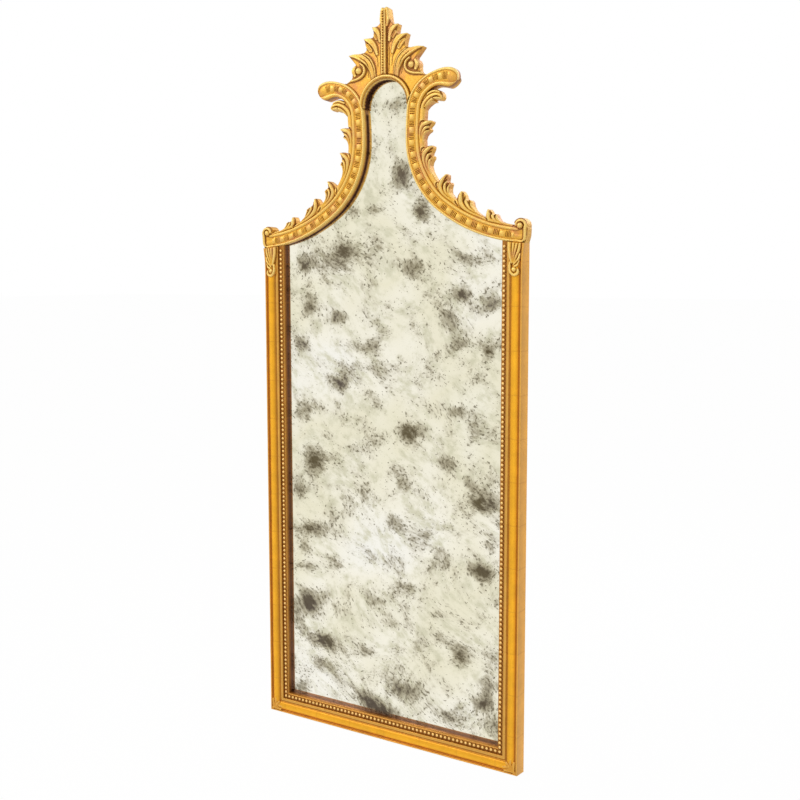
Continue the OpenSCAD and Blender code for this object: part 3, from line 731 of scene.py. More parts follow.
def stilePlace(run, u, v):
    rise = np.clip((run - underScroll(u)) / shoulder["height"] + 1, 0, 1)
    across = np.interp(u, (-frameSize["flare"], 0, shoulder["reach"]), (0, 1, 0))
    x = frameSize["halfWidth"] - u + shoulder["spread"] * rise ** 2 * across
    return np.stack([x, v - frameSize["front"], run], -1)


def railPlace(run, u, v):
    return np.stack([run, v - frameSize["front"], frameSize["flare"] + u], -1)


def underScroll(u):
    x = frameSize["halfWidth"] - u
    r = scrollPath["sweepRadius"] + 0.2
    return sweepCentre[1] - np.sqrt(r ** 2 - (sweepCentre[0] - x) ** 2)


stile = straightMoulding(lambda u: frameSize["flare"] + u, underScroll, stilePlace)
bothHands("stile", [stile], burnished, 38, "_gilt")
railPart = straightMoulding(
    lambda u: u - frameSize["halfWidth"], lambda u: frameSize["halfWidth"] - u, railPlace)
paintBack(buildPiece("bottom_rail_gilt", [railPart], "bottom_rail", burnished))
print("mouldings made")


pearls = {
    "pitch": 9.6,
    "radius": 3.7,
    "fromEdge": 39.2,
    "centre": 7.6,           # depth of a pearl's centre behind the front
}

# the pearls' pale gold is a painted highlight on their crowns and their brown is painted shade round their
# feet
pearlGold = mattGold("gilded pearls", "#E6AA45", "#E0A050", "#FFDC92", "#7E4810", 0.34)


def pearlString(places, seed):
    rng = np.random.default_rng(seed)
    rows = 7
    columns = 14
    tilt = np.linspace(0, math.pi / 2, rows)
    turn = np.linspace(0, 2 * math.pi, columns, endpoint=False)
    ballX = np.outer(np.cos(tilt), np.cos(turn))
    ballZ = np.outer(np.cos(tilt), np.sin(turn))
    ballY = np.outer(np.sin(tilt), np.ones(columns))
    quads = wrapGrid(rows, columns)
    out = []
    for x, z in places:
        r = pearls["radius"] * rng.uniform(0.95, 1.0)
        cx = x + rng.normal(0, 0.08)
        cz = z + rng.normal(0, 0.08)
        y = pearls["centre"] - frameSize["front"] - ballY * r
        points = np.stack([cx + ballX * r, y, cz + ballZ * r], -1).reshape(-1, 3)
        crown = np.clip(ballY, 0, 1).reshape(-1)
        # painted shade low on each pearl where it sits in its channel, and a painted highlight on its crown
        carve = np.stack([
            1 - smoothStep(0.0, 0.75, crown), smoothStep(0.55, 1.0, crown), np.ones(crown.shape)], -1)
        out.append((points, quads, points[:, [0, 2]], carve))
    return out


pearlX = frameSize["halfWidth"] - pearls["fromEdge"]
pearlZ = frameSize["flare"] + pearls["fromEdge"]
stileTop = sweepCentre[1] - scrollPath["sweepRadius"] - pearls["radius"]
stileCount = int((stileTop - pearlZ) / pearls["pitch"])
railCount = int(2 * pearlX / pearls["pitch"])
railPitch = 2 * pearlX / (railCount + 1)
rightPearls = [(pearlX, pearlZ + i * pearls["pitch"]) for i in range(stileCount + 1)]
leftPearls = [(-x, z) for x, z in rightPearls]
bottomPearls = [(i * railPitch - pearlX, pearlZ) for i in range(1, railCount + 1)]
for seed, side, places in ((1, "right", rightPearls), (2, "left", leftPearls), (3, "bottom", bottomPearls)):
    buildPiece(side + "_pearls", pearlString(places, seed), side + "_beads", pearlGold, 80)
print("pearls made")


scrollRail = {
    # distance out from the glass-side edge, depth, 1 where the corner stays sharp
    "section": [
        (0.0, 22.0, 1), (0.0, 19.0, 0), (0.0, 16.0, 0), (0.0, 12.0, 0), (0.0, 7.6, 0), (0.6, 5.0, 0),
        (2.0, 3.6, 0), (3.6, 3.5, 0), (4.8, 4.6, 0), (5.5, 6.0, 0), (6.4, 5.7, 0), (9.5, 4.9, 0),
        (13.0, 4.6, 0), (16.5, 4.9, 0), (20.6, 5.8, 0), (21.6, 6.3, 0), (22.4, 5.2, 0), (23.8, 3.7, 0),
        (25.8, 3.1, 0), (27.6, 3.7, 0), (29.0, 5.0, 0), (30.0, 6.6, 0), (30.0, 30.0, 1), (8.0, 30.0, 1),
        (8.0, 22.0, 1)],
    "pitch": 26.0,           # one group of chip cuts and one mound
    "cutSpacing": 3.4,
    "moundLength": 13.0,
    "notch": 4.4,            # along the bead beside the glass
    "swell": 0.27,           # how much wider the ear grows at its end
    "swellRun": (48, 4),     # where that starts and stops, back from the end
    "cap": 20,               # length of the rounded end
    "capSink": 5,            # how far its tip falls back
    "moundHeight": 1.3,
    "cutDepth": 1.5,
    "notchDepth": 0.35,
}


def bandCarving(s, q):
    # the first value is the height of the mounds less the notches, the second the depth of the cuts
    cycle = np.mod(s - 6, scrollRail["pitch"])
    cutsEnd = 13.4
    across = smoothStep(6.2, 8.8, q) * smoothStep(20.8, 18.2, q)
    tooth = np.abs(np.mod(cycle + 0.4, scrollRail["cutSpacing"]) - scrollRail["cutSpacing"] / 2)
    group = smoothStep(0.2, 0.8, cycle) * smoothStep(cutsEnd, 12.8, cycle)
    cuts = smoothStep(1.15, 0.25, tooth) * group * across
    middle = cutsEnd + scrollRail["moundLength"] / 2
    dx = (cycle - middle) / (scrollRail["moundLength"] / 2)
    dz = (q - 13.3) / 7.8
    mound = np.sqrt(np.clip(1 - dx ** 2 - dz ** 2, 0, 1))
    notches = smoothStep(5.6, 4.4, q) * (0.5 - 0.5 * np.cos(2 * math.pi * s / scrollRail["notch"]))
    raised = across * scrollRail["moundHeight"] * mound - scrollRail["notchDepth"] * notches
    return raised, scrollRail["cutDepth"] * cuts


carvedGold = mattGold("matt gilding on carving")


def scrollPart():
    corners = softCorners(scrollRail["section"], 0.6)
    # the band gets points close enough for its carving
    dense = []
    for a, b in zip(corners, np.roll(corners, -1, axis=0)):
        inBand = a[0] > 5.4 and b[0] < 21.8 and b[0] > a[0] and a[1] < 8
        pieces = max(1, int(np.linalg.norm(b - a) / 0.7)) if inBand else 1
        dense += [a + (b - a) * k / pieces for k in range(pieces)]
    dense = np.array(dense)
    q, v = dense[:, 0], dense[:, 1]
    hollow, proud = profileCavity(dense, 2.6)
    body = np.arange(0, earEnd, 0.8)
    cap = np.arange(15, 91, 7.5) * degree
    capLength = earEnd + scrollRail["cap"] * np.sin(cap)
    narrow = np.maximum(np.cos(cap), 0.004)
    sink = scrollRail["capSink"] * (1 - np.cos(cap))
    s = np.concatenate([body, capLength])[:, None]
    swellStart, swellStop = scrollRail["swellRun"]
    swell = 1 + scrollRail["swell"] * smoothStep(earEnd - swellStart, earEnd - swellStop, s)
    k = np.concatenate([np.ones(len(body)), narrow])[:, None] * swell
    d = np.concatenate([np.zeros(len(body)), sink])[:, None]
    half = scrollPath["width"] / 2
    qq = half + (q - half) * k
    face = v < 20
    fade = face * smoothStep(0.5, 0.9, k) * smoothStep(earEnd + 2, earEnd - 12, s)
    raised, cut = (layer * fade for layer in bandCarving(s, np.broadcast_to(q, qq.shape)))
    vv = v - raised + cut + d * face
    x, z = along(np.broadcast_to(s, qq.shape), qq)
    points = np.stack([x, vv - frameSize["front"], z], -1).reshape(-1, 3)
    pattern = np.clip(cut / 1.9, 0, 1)
    # painted shade darkens only the wall beside the glass with depth, not the free end above the neck
    lit = 1 - smoothStep(14, 21, v) * (q < 1) * smoothStep(neckEnd + 6, neckEnd - 4, s)
    # painted shade goes into the hollows and the chip cuts
    cavity = np.maximum(hollow * 0.9, pattern)
    high = np.clip(np.maximum(proud, raised / 2.6), 0, 1)
    carve = np.stack([np.broadcast_to(cavity, qq.shape), np.broadcast_to(high, qq.shape),
                      np.broadcast_to(lit, qq.shape)], -1).reshape(-1, 3)
    uv = np.stack([np.broadcast_to(s, qq.shape), qq], -1).reshape(-1, 2)
    return points, wrapGrid(len(s), len(q))[:, ::-1], uv, carve


bothHands("scroll", [scrollPart()], carvedGold, 50)
print("scrolls made")


def archPart():
    corners = softCorners(arch["section"], 0.6)
    q, v = corners[:, 0], corners[:, 1]
    r = arch["radius"] + q
    # each ring stops where it meets the scroll
    dx, dz = earCentre[0], earCentre[1] - arch["height"]
    away = math.hypot(dx, dz)
    reach = scrollPath["earRadius"] + 0.2
    cosine = np.clip((r ** 2 + away ** 2 - reach ** 2) / (2 * r * away), -1, 1)
    start = np.maximum(math.atan2(dz, dx) + np.arccos(cosine), 0.0)
    t = np.linspace(0, 1, 181)[:, None]
    # the rings run a little way into the scrolls, those beside the glass furthest
    start = start - np.where(q < 4.3, *arch["runIn"])
    angle = start + (math.pi - 2 * start) * t
    x = r * np.cos(angle)
    z = arch["height"] + r * np.sin(angle)
    notch = 0.5 - 0.5 * np.cos(2 * math.pi * angle * arch["radius"] / arch["notch"])
    cut = arch["notchDepth"] * notch * smoothStep(0.2, 0.9, q) * smoothStep(3.6, 2.8, q) * (v < 8)
    points = np.stack([x, v + cut - frameSize["front"], z], -1).reshape(-1, 3)
    hollow, proud = profileCavity(corners, 2.4)
    # painted shade darkens the wall beside the glass with depth, and its scallops catch the light as painted
    # highlights
    lit = np.clip(1 - smoothStep(6, 16, v) * (q < 1) + 0.45 * notch * (v < 17), 0, 1)
    carve = np.stack([np.broadcast_to(np.maximum(hollow, cut.max(axis=0) * 0.3), x.shape),
                      np.broadcast_to(proud, x.shape), lit], -1).reshape(-1, 3)
    uv = np.stack([angle * arch["radius"], np.broadcast_to(q, x.shape)], -1).reshape(-1, 2)
    return points, wrapGrid(len(t), len(q))[:, ::-1], uv, carve


paintBack(buildPiece("arch_gilt", [archPart()], "crest_arch", carvedGold, 50))
print("arch made")


crest = {
    # right half, from the top down: distance from the centre line, height above the arch's centre
    "edge": [
        (0.0, 194.0), (5.4, 194.3), (8.0, 191.9), (9.1, 186.2), (10.6, 175.5), (11.6, 168.8),
        (13.6, 163.0), (19.5, 159.2), (30.2, 158.5), (27.8, 149.2), (26.6, 141.4), (30.2, 137.8),
        (39.0, 136.9), (50.3, 137.5), (46.0, 123.4), (44.4, 114.2), (49.0, 110.0), (61.4, 108.4),
        (74.8, 109.2), (87.2, 107.2), (77.2, 95.4), (71.4, 89.0), (70.2, 85.4), (75.8, 81.4),
        (78.8, 75.2), (78.2, 67.4), (79.4, 60.2), (84.2, 54.4), (92.6, 51.3), (103.4, 52.2)],
    "base": 9.0,
    "back": 26.0,
    "rib": (58, 191),            # heights between which the centre rib runs
    "ridge": (8.4, 1.8, 2.6),    # its crisp right side: relief, distance across, half width
    "flat": (6.6, -4.0, 4.2),    # and its flat left side
    "dotted": (60, 186),         # heights between which the flat side is punched
    "dot": (3.4, -3.4, 1.5, 1.7),    # depth, distance across, half width, half height
    "dotSpacing": 5.4,
    # right-hand cuts: (distance from the centre line, height above the arch's centre, half width, relief)
    "cuts": [
        # the lowest leaf and the thin edge turned up along its top
        ("leaf", [(27, 53, 4.5, 4), (30, 70, 6, 6), (38, 86, 8, 7.4), (53, 98, 8.4, 7.6), (70, 104.6, 5.4, 6),
                  (86, 107, 1.6, 4)]),
        ("rib", [(22, 58, 1.6, 3.8), (25, 78, 2.0, 5.4), (34, 95, 2.2, 6.4), (49, 106, 1.8, 5.8)]),
        # a ball held in a curl that opens outwards, with the leaf's swollen lee beyond it
        ("rib", [(99, 52.6, 1.8, 3.4), (82, 54.6, 2.6, 4.8), (65, 57, 2.8, 5.6), (53, 62.5, 3.0, 6.2),
                 (47.5, 71, 3.0, 6.4), (49.5, 81, 2.8, 6.4), (57, 87.5, 2.4, 5.8)]),
        ("leaf", [(72, 82, 4.6, 5.0), (74, 74, 5.4, 6.2), (71, 65, 4.0, 4.6)]),
        ("bead", [(61.4, 73.4, 7.4, 8.6), (61.8, 73.4, 7.4, 8.6)]),
        # the middle and upper leaves with their spooned undersides
        ("leaf", [(18, 103, 3.4, 4.5), (23, 118, 5.6, 6), (32, 129, 6.8, 7), (42, 134.5, 4.4, 6),
                  (50, 136.8, 1.6, 4)]),
        ("cup", [(33, 112, 4.4, 5.4), (39, 120, 4.8, 5.8), (44, 125, 3, 4.6)]),
        ("leaf", [(11, 127, 3, 4.5), (14, 142, 5, 6), (20, 151, 5.4, 6.6), (29.5, 157.5, 1.6, 4)]),
        ("cup", [(19, 134, 3.8, 5.0), (24, 142, 3.8, 5.0)]),
        ("leaf", [(5, 158, 3.6, 5.6), (7, 170, 4.6, 7), (6.6, 182, 4, 7.6), (5.6, 192, 3.4, 7)]),
    ],
    # veins cut into the open ground
    "pits": [
        [(9, 64, 0.8, 0.8), (10.5, 96, 1.0, 1.4), (9, 124, 0.8, 1.0)],
        [(16, 76, 0.8, 0.8), (18, 94, 1.1, 1.6), (25, 107, 1.0, 1.4)],
        [(33, 70, 0.9, 1.2), (42, 88, 1.1, 1.8), (57, 99, 0.9, 1.4)],
        [(38, 58, 0.9, 1.0), (41, 72, 1.0, 1.4), (45, 84, 0.9, 1.2)],
    ],
}


def centreRib(px, pz, field):
    # a row of punched dots on the left of the rib, and a crisp ridge on its right
    tall = (pz > crest["rib"][0]) * (pz < crest["rib"][1])
    high, middle, half = crest["ridge"]
    ridge = high * np.sqrt(np.clip(1 - ((px - middle) / half) ** 2, 0, 1)) * tall
    high, middle, half = crest["flat"]
    flat = high * np.sqrt(np.clip(1 - ((px - middle) / half) ** 4, 0, 1)) * tall
    deep, middle, wide, long = crest["dot"]
    step = np.mod(pz, crest["dotSpacing"]) - crest["dotSpacing"] / 2
    dots = np.exp(-(((px - middle) / wide) ** 2 + (step / long) ** 2))
    dots = dots * (pz > crest["dotted"][0]) * (pz < crest["dotted"][1])
    return np.maximum(np.maximum(field, ridge), flat) - deep * dots


def crestPart():
    right = np.array(crest["edge"])
    left = right[::-1] * [-1, 1]
    base = []
    # along the ear's top edge, down into the corner with the arch, over the arch and back
    ex, ez = earCentre[0], earCentre[1] - arch["height"]
    away = math.hypot(ex, ez)
    ar = arch["radius"] + arch["width"] + 0.3
    er = scrollPath["earRadius"] + 0.3
    spread = math.acos((ar ** 2 + away ** 2 - er ** 2) / (2 * ar * away))
    meet = math.atan2(ez, ex) + spread
    fromEar = math.atan2(ar * math.sin(meet) - ez, ar * math.cos(meet) - ex)
    toEar = math.atan2(crest["edge"][-1][1] - ez, crest["edge"][-1][0] - ex)
    for a in np.linspace(toEar, fromEar, 14):
        base.append((ex + er * math.cos(a), ez + er * math.sin(a)))
    for a in np.linspace(meet, math.pi / 2, 14)[1:]:
        base.append((ar * math.cos(a), ar * math.sin(a)))
    base = np.array(base)
    outline = np.vstack([right, base, base[-2::-1] * [-1, 1], left[:-1]])
    strokes = []
    for kind, rows in crest["cuts"] + [("pit", rows) for rows in crest["pits"]]:
        rows = np.array(rows, float)
        strokes += [(kind, rows), (kind, rows * [-1, 1, 1, 1])]
    return carvedPart(outline, strokes, 0.85, crest["base"], crest["back"],
                      lambda x, z: (x, z + arch["height"]), ground=1.0, extra=centreRib, drop=2.0)


paintBack(buildPiece("crest_carved", [crestPart()], "crest_palmette", carvedGold, 55))
print("crest made")


leafRun = {
    # length along the scroll at the tip, length and height of the leaf
    "leaves": [(72, 44, 17), (154, 66, 20), (222, 56, 25), (320, 62, 19), (381, 38, 18)],
    "shape": [
        (-1.0, 0.0), (-0.78, 0.12), (-0.64, 0.38), (-0.55, 0.68), (-0.47, 0.76), (-0.41, 0.70),
        (-0.37, 0.56), (-0.28, 0.66), (-0.18, 0.86), (-0.08, 0.98), (0.0, 1.0), (0.035, 0.93),
        (0.05, 0.72), (0.055, 0.45), (0.03, 0.18), (0.02, 0.0)],
    "earLeaf": [
        (0, 40), (12, 43.5), (26, 47.5), (44, 51.5), (58, 56), (61, 54), (63, 51.5), (80, 56.5),
        (104, 59.6), (118, 58), (122.5, 54), (120, 48), (110, 42), (96, 37), (80, 33), (64, 31)],
    # place along the leaf, what it is measured from, mm out from there, share of the leaf's height more,
    # half width, relief
    "strokes": [
        # one bold roll that rises from the rail and breaks outwards, then two lobes in its lee
        ("rib", [(-1.15, "rail", 2.4, 0, 2.6, 3.0), (-0.62, "rail", 3.2, 0, 4.2, 5.2),
                 (-0.26, "stem", -2.0, 0, 5.6, 7.2), (-0.10, "stem", 0, 0.40, 5.0, 8.0),
                 (-0.02, "stem", 0, 0.92, 2.6, 5.6)]),
        ("rib", [(-0.95, "stem", -3.0, 0, 2.6, 3.8), (-0.60, "stem", -1.0, 0, 4.0, 5.6),
                 (-0.37, "stem", 0, 0.28, 3.8, 6.2), (-0.31, "stem", 0, 0.66, 2.2, 4.8)]),
        ("rib", [(-1.2, "stem", -1.5, 0, 2.4, 3.4), (-0.85, "stem", 0, 0, 3.4, 4.6),
                 (-0.61, "stem", 0, 0.26, 3.2, 5.2), (-0.54, "stem", 0, 0.62, 1.8, 4.2)]),
        ("pit", [(-0.17, "rail", 1.6, 0, 1.4, 2.2), (-0.02, "rail", 4.6, 0, 2.2, 3.2),
                 (0.03, "stem", 0, 0, 1.8, 2.8)]),
        ("pit", [(-0.25, "stem", 0, 0.34, 1.0, 3.2), (-0.22, "stem", 0, 0.7, 1.2, 3.2)]),
        ("pit", [(-0.49, "stem", 0, 0.30, 1.0, 2.6), (-0.44, "stem", 0, 0.6, 1.2, 3.0)]),
    ],
    "base": 9.0,
    "back": 26.0,
}


def stemOut(s):
    return scrollPath["width"] + 4 + 6 * np.clip((np.asarray(s, float) - 60) / 90, 0, 1)


def leafRunParts():
    edge = scrollPath["width"] + 0.1
    last = neckEnd + 4
    inner = [(s, edge) for s in np.arange(6, last, 8.0)] + [(last, edge)]
    outer = [(last, float(stemOut(last)))]
    for tip, length, height in reversed(leafRun["leaves"]):
        for a, b in reversed(leafRun["shape"]):
            s = tip + a * length
            outer.append((s, float(stemOut(s)) + b * height))
    outer.append((6, edge + 3.2))
    strokes = []
    middle = [(s, (edge + float(stemOut(s))) / 2) for s in np.arange(6, last + 8, 12.0)]
    strokes.append(("rib", [(s, q, q - edge + 1.6, 3.6) for s, q in middle]))
    for tip, n, h in leafRun["leaves"]:
        b = float(stemOut(tip))
        for kind, points in leafRun["strokes"]:
            rows = []
            for place, ground, lift, share, wide, high in points:
                foot = edge if ground == "rail" else b
                rows.append((tip + place * n, foot + lift + share * h, wide, high))
            strokes.append((kind, rows))
    run = carvedPart(inner + outer, strokes, 0.62, leafRun["base"], leafRun["back"], along, ground=0.8,
                     drop=2.0, free=outer)
    e = neckEnd
    ear = [
        ("rib", [(e - 14, 34, 3, 3), (e + 16, 36, 5, 4.6), (e + 44, 40, 5.4, 5.6), (e + 74, 44, 5.5, 6.4),
                 (e + 104, 50, 5.4, 6.6), (e + 117, 54, 4.0, 5.6)]),
        ("rib", [(e + 10, 41, 3, 4), (e + 34, 45.5, 3.4, 6.2), (e + 62, 50, 3.6, 7.4),
                 (e + 90, 54.5, 3.6, 7.6), (e + 114, 57, 2.6, 5.6)]),
        ("rib", [(e - 4, 42, 2.4, 3), (e + 24, 45, 3.0, 4.6), (e + 45, 50, 2.6, 5.6),
                 (e + 58, 54.5, 1.6, 5)]),
        ("rib", [(e + 56, 34, 3, 4), (e + 82, 38, 3.4, 5.4), (e + 106, 44.5, 3.4, 5)]),
        ("pit", [(e + 64, 51, 1.8, 3.5), (e + 72, 47.6, 1.2, 2.2), (e + 96, 51.4, 1.0, 2.0)]),
    ]
    free = [(e + s, q) for s, q in leafRun["earLeaf"]]
    outline = free + [(e + s, edge) for s in np.arange(60, -1, -10.0)]
    leaf = carvedPart(outline, ear, 0.62, leafRun["base"], leafRun["back"], along, ground=0.8,
                      drop=2.0, free=free)
    return [(points, quads[:, ::-1], uv, carve) for points, quads, uv, carve in (run, leaf)]


bothHands("leaves", leafRunParts(), carvedGold, 55)
print("leaves made")


volute = {
    "eye": (297.6, sweepCentre[1] - 298.5),
    "rim": 14.5,
    "button": 6.4,
    "curl": (-24, 168),      # degrees between which the rail's end rolls over the button
}


def volutePart():
    cx, cz = volute["eye"]
    r = volute["rim"]
    w = frameSize["halfWidth"]
    foot = along(0.3, 0)
    back = along(0.3, scrollPath["width"])
    out = w + shoulder["spread"]
    under = [(x, float(underScroll(w - x))) for x in np.linspace(foot[0], out, 9)]
    outline = [(float(foot[0]), float(foot[1]))] + under[1:]
    toe = under[-1][1]
    outline += [(out + 1.0, toe + 4.5), (out + 2.3, toe + 9), (out + 3.7, toe + 15), (w + 8.2, cz - 6)]
    for a in np.linspace(-15, 150, 22) * degree:
        outline.append((cx + r * math.cos(a), cz + r * math.sin(a)))
    outline.append((float(back[0]) + 1.2, float(back[1]) + 2.0))
    outline.append((float(back[0]), float(back[1])))
    # the outer edge climbs from the foot and rolls over the button
    first, last = volute["curl"]
    low = float(underScroll(0.0))
    climb = [(w - 7.5, low + 2.6, 2.2, 1.6), (w - 2.5, low + 3.4, 2.4, 2.4), (w + 1.4, low + 6.0, 2.8, 3.6),
             (w + 3.4, low + 12.0, 3.2, 4.6)]
    for a in np.linspace(first, last, 30):
        reach = r - 3.2 - 3.6 * max(0.0, a / last)
        climb.append((cx + reach * math.cos(a * degree), cz + reach * math.sin(a * degree), 3.4, 5.2))
    strokes = [("rib", climb), ("bead", [(cx + side, cz, volute["button"], 8.2) for side in (0.0, 0.2)])]
    # the rail's bead, its band and its outer rib run on below the button and die away
    for q, wide, high in ((2.9, 2.6, 1.5), (11.0, 4.6, 0.7), (25.6, 3.0, 2.2)):
        px, pz = along(np.array([0.3, 4.0]), q)
        lift = min(q, 18.0)
        row = [(px[0], pz[0], wide, high), (px[0] + 6, pz[0] - 0.4, wide, high * 0.9)]
        if q < 20:
            row += [(w - u, float(underScroll(u)) + lift, wide, high) for u in (8.0, 4.0)]
        else:
            row.append((cx - 4, cz - 3, 2.0, 1.6))
        strokes.append(("rib", row))
    return carvedPart(outline, strokes, 0.6, 4.8, 30.0, lambda x, z: (x, z), ground=0.2, drop=1.6, roll=1.6,
                      free=outline[1:-2])


bothHands("volute", [volutePart()], carvedGold, 55)


drop = {
    # half-open acanthus under the shoulder: [in from the outer edge, below the rail]
    "outline": [
        (31.0, -10), (29.4, -22), (25.8, -33), (27.6, -41), (28.6, -49), (26.4, -57), (20.5, -63.5),
        (13, -65.5), (7.6, -62), (5.0, -55), (6.0, -47.5), (8.2, -43.5), (5.4, -35), (3.4, -22), (2.8, -10)],
    "base": 1.4,
    "back": 5.4,
}


def dropPart():
    w = frameSize["halfWidth"]
    top = float(underScroll(4.0)) - 0.6
    lid = [(w - u, float(underScroll(u)) - 0.4) for u in (2.8, 12, 21, 31)]
    outline = lid + [(w - u, top + d) for u, d in drop["outline"]]

    def row(kind, *points):
        return kind, [(w - u, top + d, wide, high) for u, d, wide, high in points]

    strokes = [
        # blades fanned from the stem up to the rail
        row("rib", (5.0, 1, 3.2, 3.4), (7.2, -12, 3.4, 4.0), (12, -25, 3.2, 4.4), (17, -38, 2.4, 4.0)),
        row("rib", (11.0, 2, 3.4, 3.8), (13.0, -9, 3.4, 4.4), (16.0, -22, 2.8, 4.4), (18.5, -36, 2.0, 3.8)),
        row("rib", (18, 2, 3.8, 3.8), (18.6, -9, 3.6, 4.4), (19.6, -22, 2.8, 4.2), (20.2, -36, 2.0, 3.8)),
        row("rib", (26, 2, 4.6, 3.6), (26.2, -10, 4.6, 4.4), (24.4, -23, 4.0, 4.6), (21.4, -37, 2.6, 4.2)),
        # two lobes that break outwards
        row("rib", (4.8, -21, 2.4, 3.4), (7.0, -29, 3.0, 4.4), (12, -35, 2.6, 4.2), (17, -41, 2.0, 3.8)),
        row("rib", (6.2, -35, 2.6, 3.6), (9.0, -41, 3.0, 4.6), (15, -44.5, 2.6, 4.4)),
        # the curl at the foot round its rosette
        row("rib", (24.5, -37, 2.8, 3.8), (26.0, -46, 3.4, 4.6), (23.0, -56, 3.8, 5.0),
            (15.5, -60.8, 3.8, 5.0), (9.0, -57.0, 3.4, 5.0), (8.6, -51.0, 2.6, 4.6)),
        row("bead", (17.0, -50.5, 5.6, 5.2), (16.8, -50.7, 5.6, 5.2)),
        row("pit", (23.0, -38.5, 1.0, 2.0), (21.6, -44.0, 1.2, 2.4)),
    ]
    return carvedPart(outline, strokes, 0.5, drop["base"], drop["back"], lambda a, b: (a, b), ground=0.3,
                      drop=2.0, roll=1.2, top=5.2)


bothHands("drop", [dropPart()], carvedGold, 60, backed=False)


def cornerPart():
    x = frameSize["halfWidth"] - 3.0
    z = frameSize["flare"] + 3.0
    outline = [(x, z), (x - 1, z + 12), (x + 0.5, z + 24), (x - 5, z + 28), (x - 11, z + 30),
               (x - 14, z + 24), (x - 21, z + 23), (x - 23, z + 21), (x - 24, z + 14), (x - 30, z + 11),
               (x - 28, z + 5), (x - 24, z - 0.5), (x - 12, z + 1)]
    strokes = [("leaf", [(x - 2, z + 2, 3, 2.2), (x - 10, z + 10, 5, 3.4), (x - 20, z + 20, 2.4, 2.6)])]
    for side in (0, 1):
        rows = [[(4, 5, 2.4, 2.2), (5, 14, 4, 3.2), (3, 24, 2.4, 2.4)],
                [(8, 9, 2.4, 2.2), (11, 19, 3.6, 3.0), (10, 28, 1.8, 2.2)]]
        for row in rows:
            strokes.append(("leaf", [
                (x - (b if side else a), z + (a if side else b), w, h) for a, b, w, h in row]))
    strokes.append(("bead", [(x - 14, z + 14, 2.6, 4.4), (x - 14.2, z + 14.2, 2.6, 4.4)]))
    return carvedPart(outline, strokes, 0.5, 1.6, 4.6, lambda a, b: (a, b), ground=0.1,
                      drop=2.4, roll=1.4, top=3.8)


# its pale gold is a painted highlight on the high ground and its brown is painted shade, with some dirt, in
# the cuts
wornCorner = mattGold("worn gilding on the corners", "#DE9C2C", "#C0702E", "#EDB854", "#8A4A12")
bothHands("corner_leaf", [cornerPart()], wornCorner, 60, backed=False)
print("small carvings made")


mirror = {
    # where the silvering has gone: (x, z, half width, half height, strength)
    "blotches": [
        (-214, 1042, 22, 16, 0.8), (-127, 1048, 34, 22, 1.0), (-100, 1070, 14, 10, 0.6),
        (54, 1030, 22, 14, 0.9), (-198, 948, 18, 14, 0.9), (-122, 925, 18, 12, 0.7),
        (166, 975, 20, 12, 0.8), (238, 955, 22, 14, 1.0), (-52, 862, 26, 14, 0.9), (156, 870, 18, 10, 0.7),
        (228, 860, 11, 14, 1.0), (-222, 858, 22, 18, 0.7), (-124, 780, 26, 14, 1.0),
        (-192, 722, 28, 12, 0.6), (156, 736, 22, 12, 0.7), (50, 684, 22, 14, 1.0), (-32, 660, 18, 14, 0.6),
        (-192, 603, 34, 20, 1.0), (10, 604, 18, 12, 0.5), (141, 628, 22, 9, 0.6), (228, 552, 32, 16, 1.0),
        (-226, 527, 12, 18, 0.7), (-197, 441, 30, 14, 0.9), (233, 458, 18, 14, 0.6),
        (223, 407, 22, 14, 0.9), (-202, 355, 24, 9, 0.7), (30, 345, 24, 12, 0.6), (-208, 276, 30, 24, 1.2),
        (20, 259, 22, 9, 0.5), (172, 213, 22, 15, 0.9), (-182, 184, 32, 18, 1.0), (-62, 184, 20, 14, 0.7),
        (233, 163, 16, 32, 1.0), (-162, 134, 32, 14, 0.7), (40, 118, 32, 18, 0.9), (213, 128, 18, 14, 0.8),
        (-52, 72, 32, 18, 1.0), (132, 78, 28, 14, 0.8), (-232, 68, 22, 14, 0.8), (-12, 58, 26, 10, 0.7),
        (30, 1223, 20, 24, 1.0), (76, 1150, 18, 17, 1.0), (-31, 1153, 17, 10, 0.7), (10, 1366, 44, 10, 0.5),
        (-84, 1148, 16, 10, 0.5), (180, 1046, 26, 12, 0.6), (-30, 998, 14, 8, 0.5), (90, 912, 16, 8, 0.6),
        (-160, 660, 14, 9, 0.4), (96, 470, 16, 9, 0.4), (-96, 330, 20, 9, 0.4), (120, 300, 14, 8, 0.4),
    ],
    "beyond": 6.0,           # how far the glass runs on under the rabbet
    "face": 22.05,
    "back": 25.0,
    "cell": 7.0,             # size of a mesh cell
    "spread": 1.2,           # how far a blotch's haze reaches past its heart
}


def glassOutline(m):
    w = frameSize["halfWidth"] - frameSize["mouldWidth"] + m
    p = scrollPath
    right = [(w, frameSize["flare"] + frameSize["mouldWidth"] - m)]
    r = p["sweepRadius"] - m
    first = 180 + math.degrees(math.acos((sweepCentre[0] - w) / r))
    spans = [(sweepCentre, r, first, 270 - p["joinAngle"], 24),
             (bendCentre, p["bendRadius"] - m, 268 - p["joinAngle"], 180, 24),
             (neckCentre, p["neckRadius"] - m, 179, 180 - p["neckTurn"], 4),
             (np.array([0.0, arch["height"]]), arch["radius"] + m, 0, 90, 24)]
    for centre, radius, a, b, n in spans:
        for angle in np.linspace(a, b, n) * degree:
            right.append((centre[0] + radius * math.cos(angle), centre[1] + radius * math.sin(angle)))
    right = np.array(right)
    return np.vstack([right, right[-2::-1] * [-1, 1]])


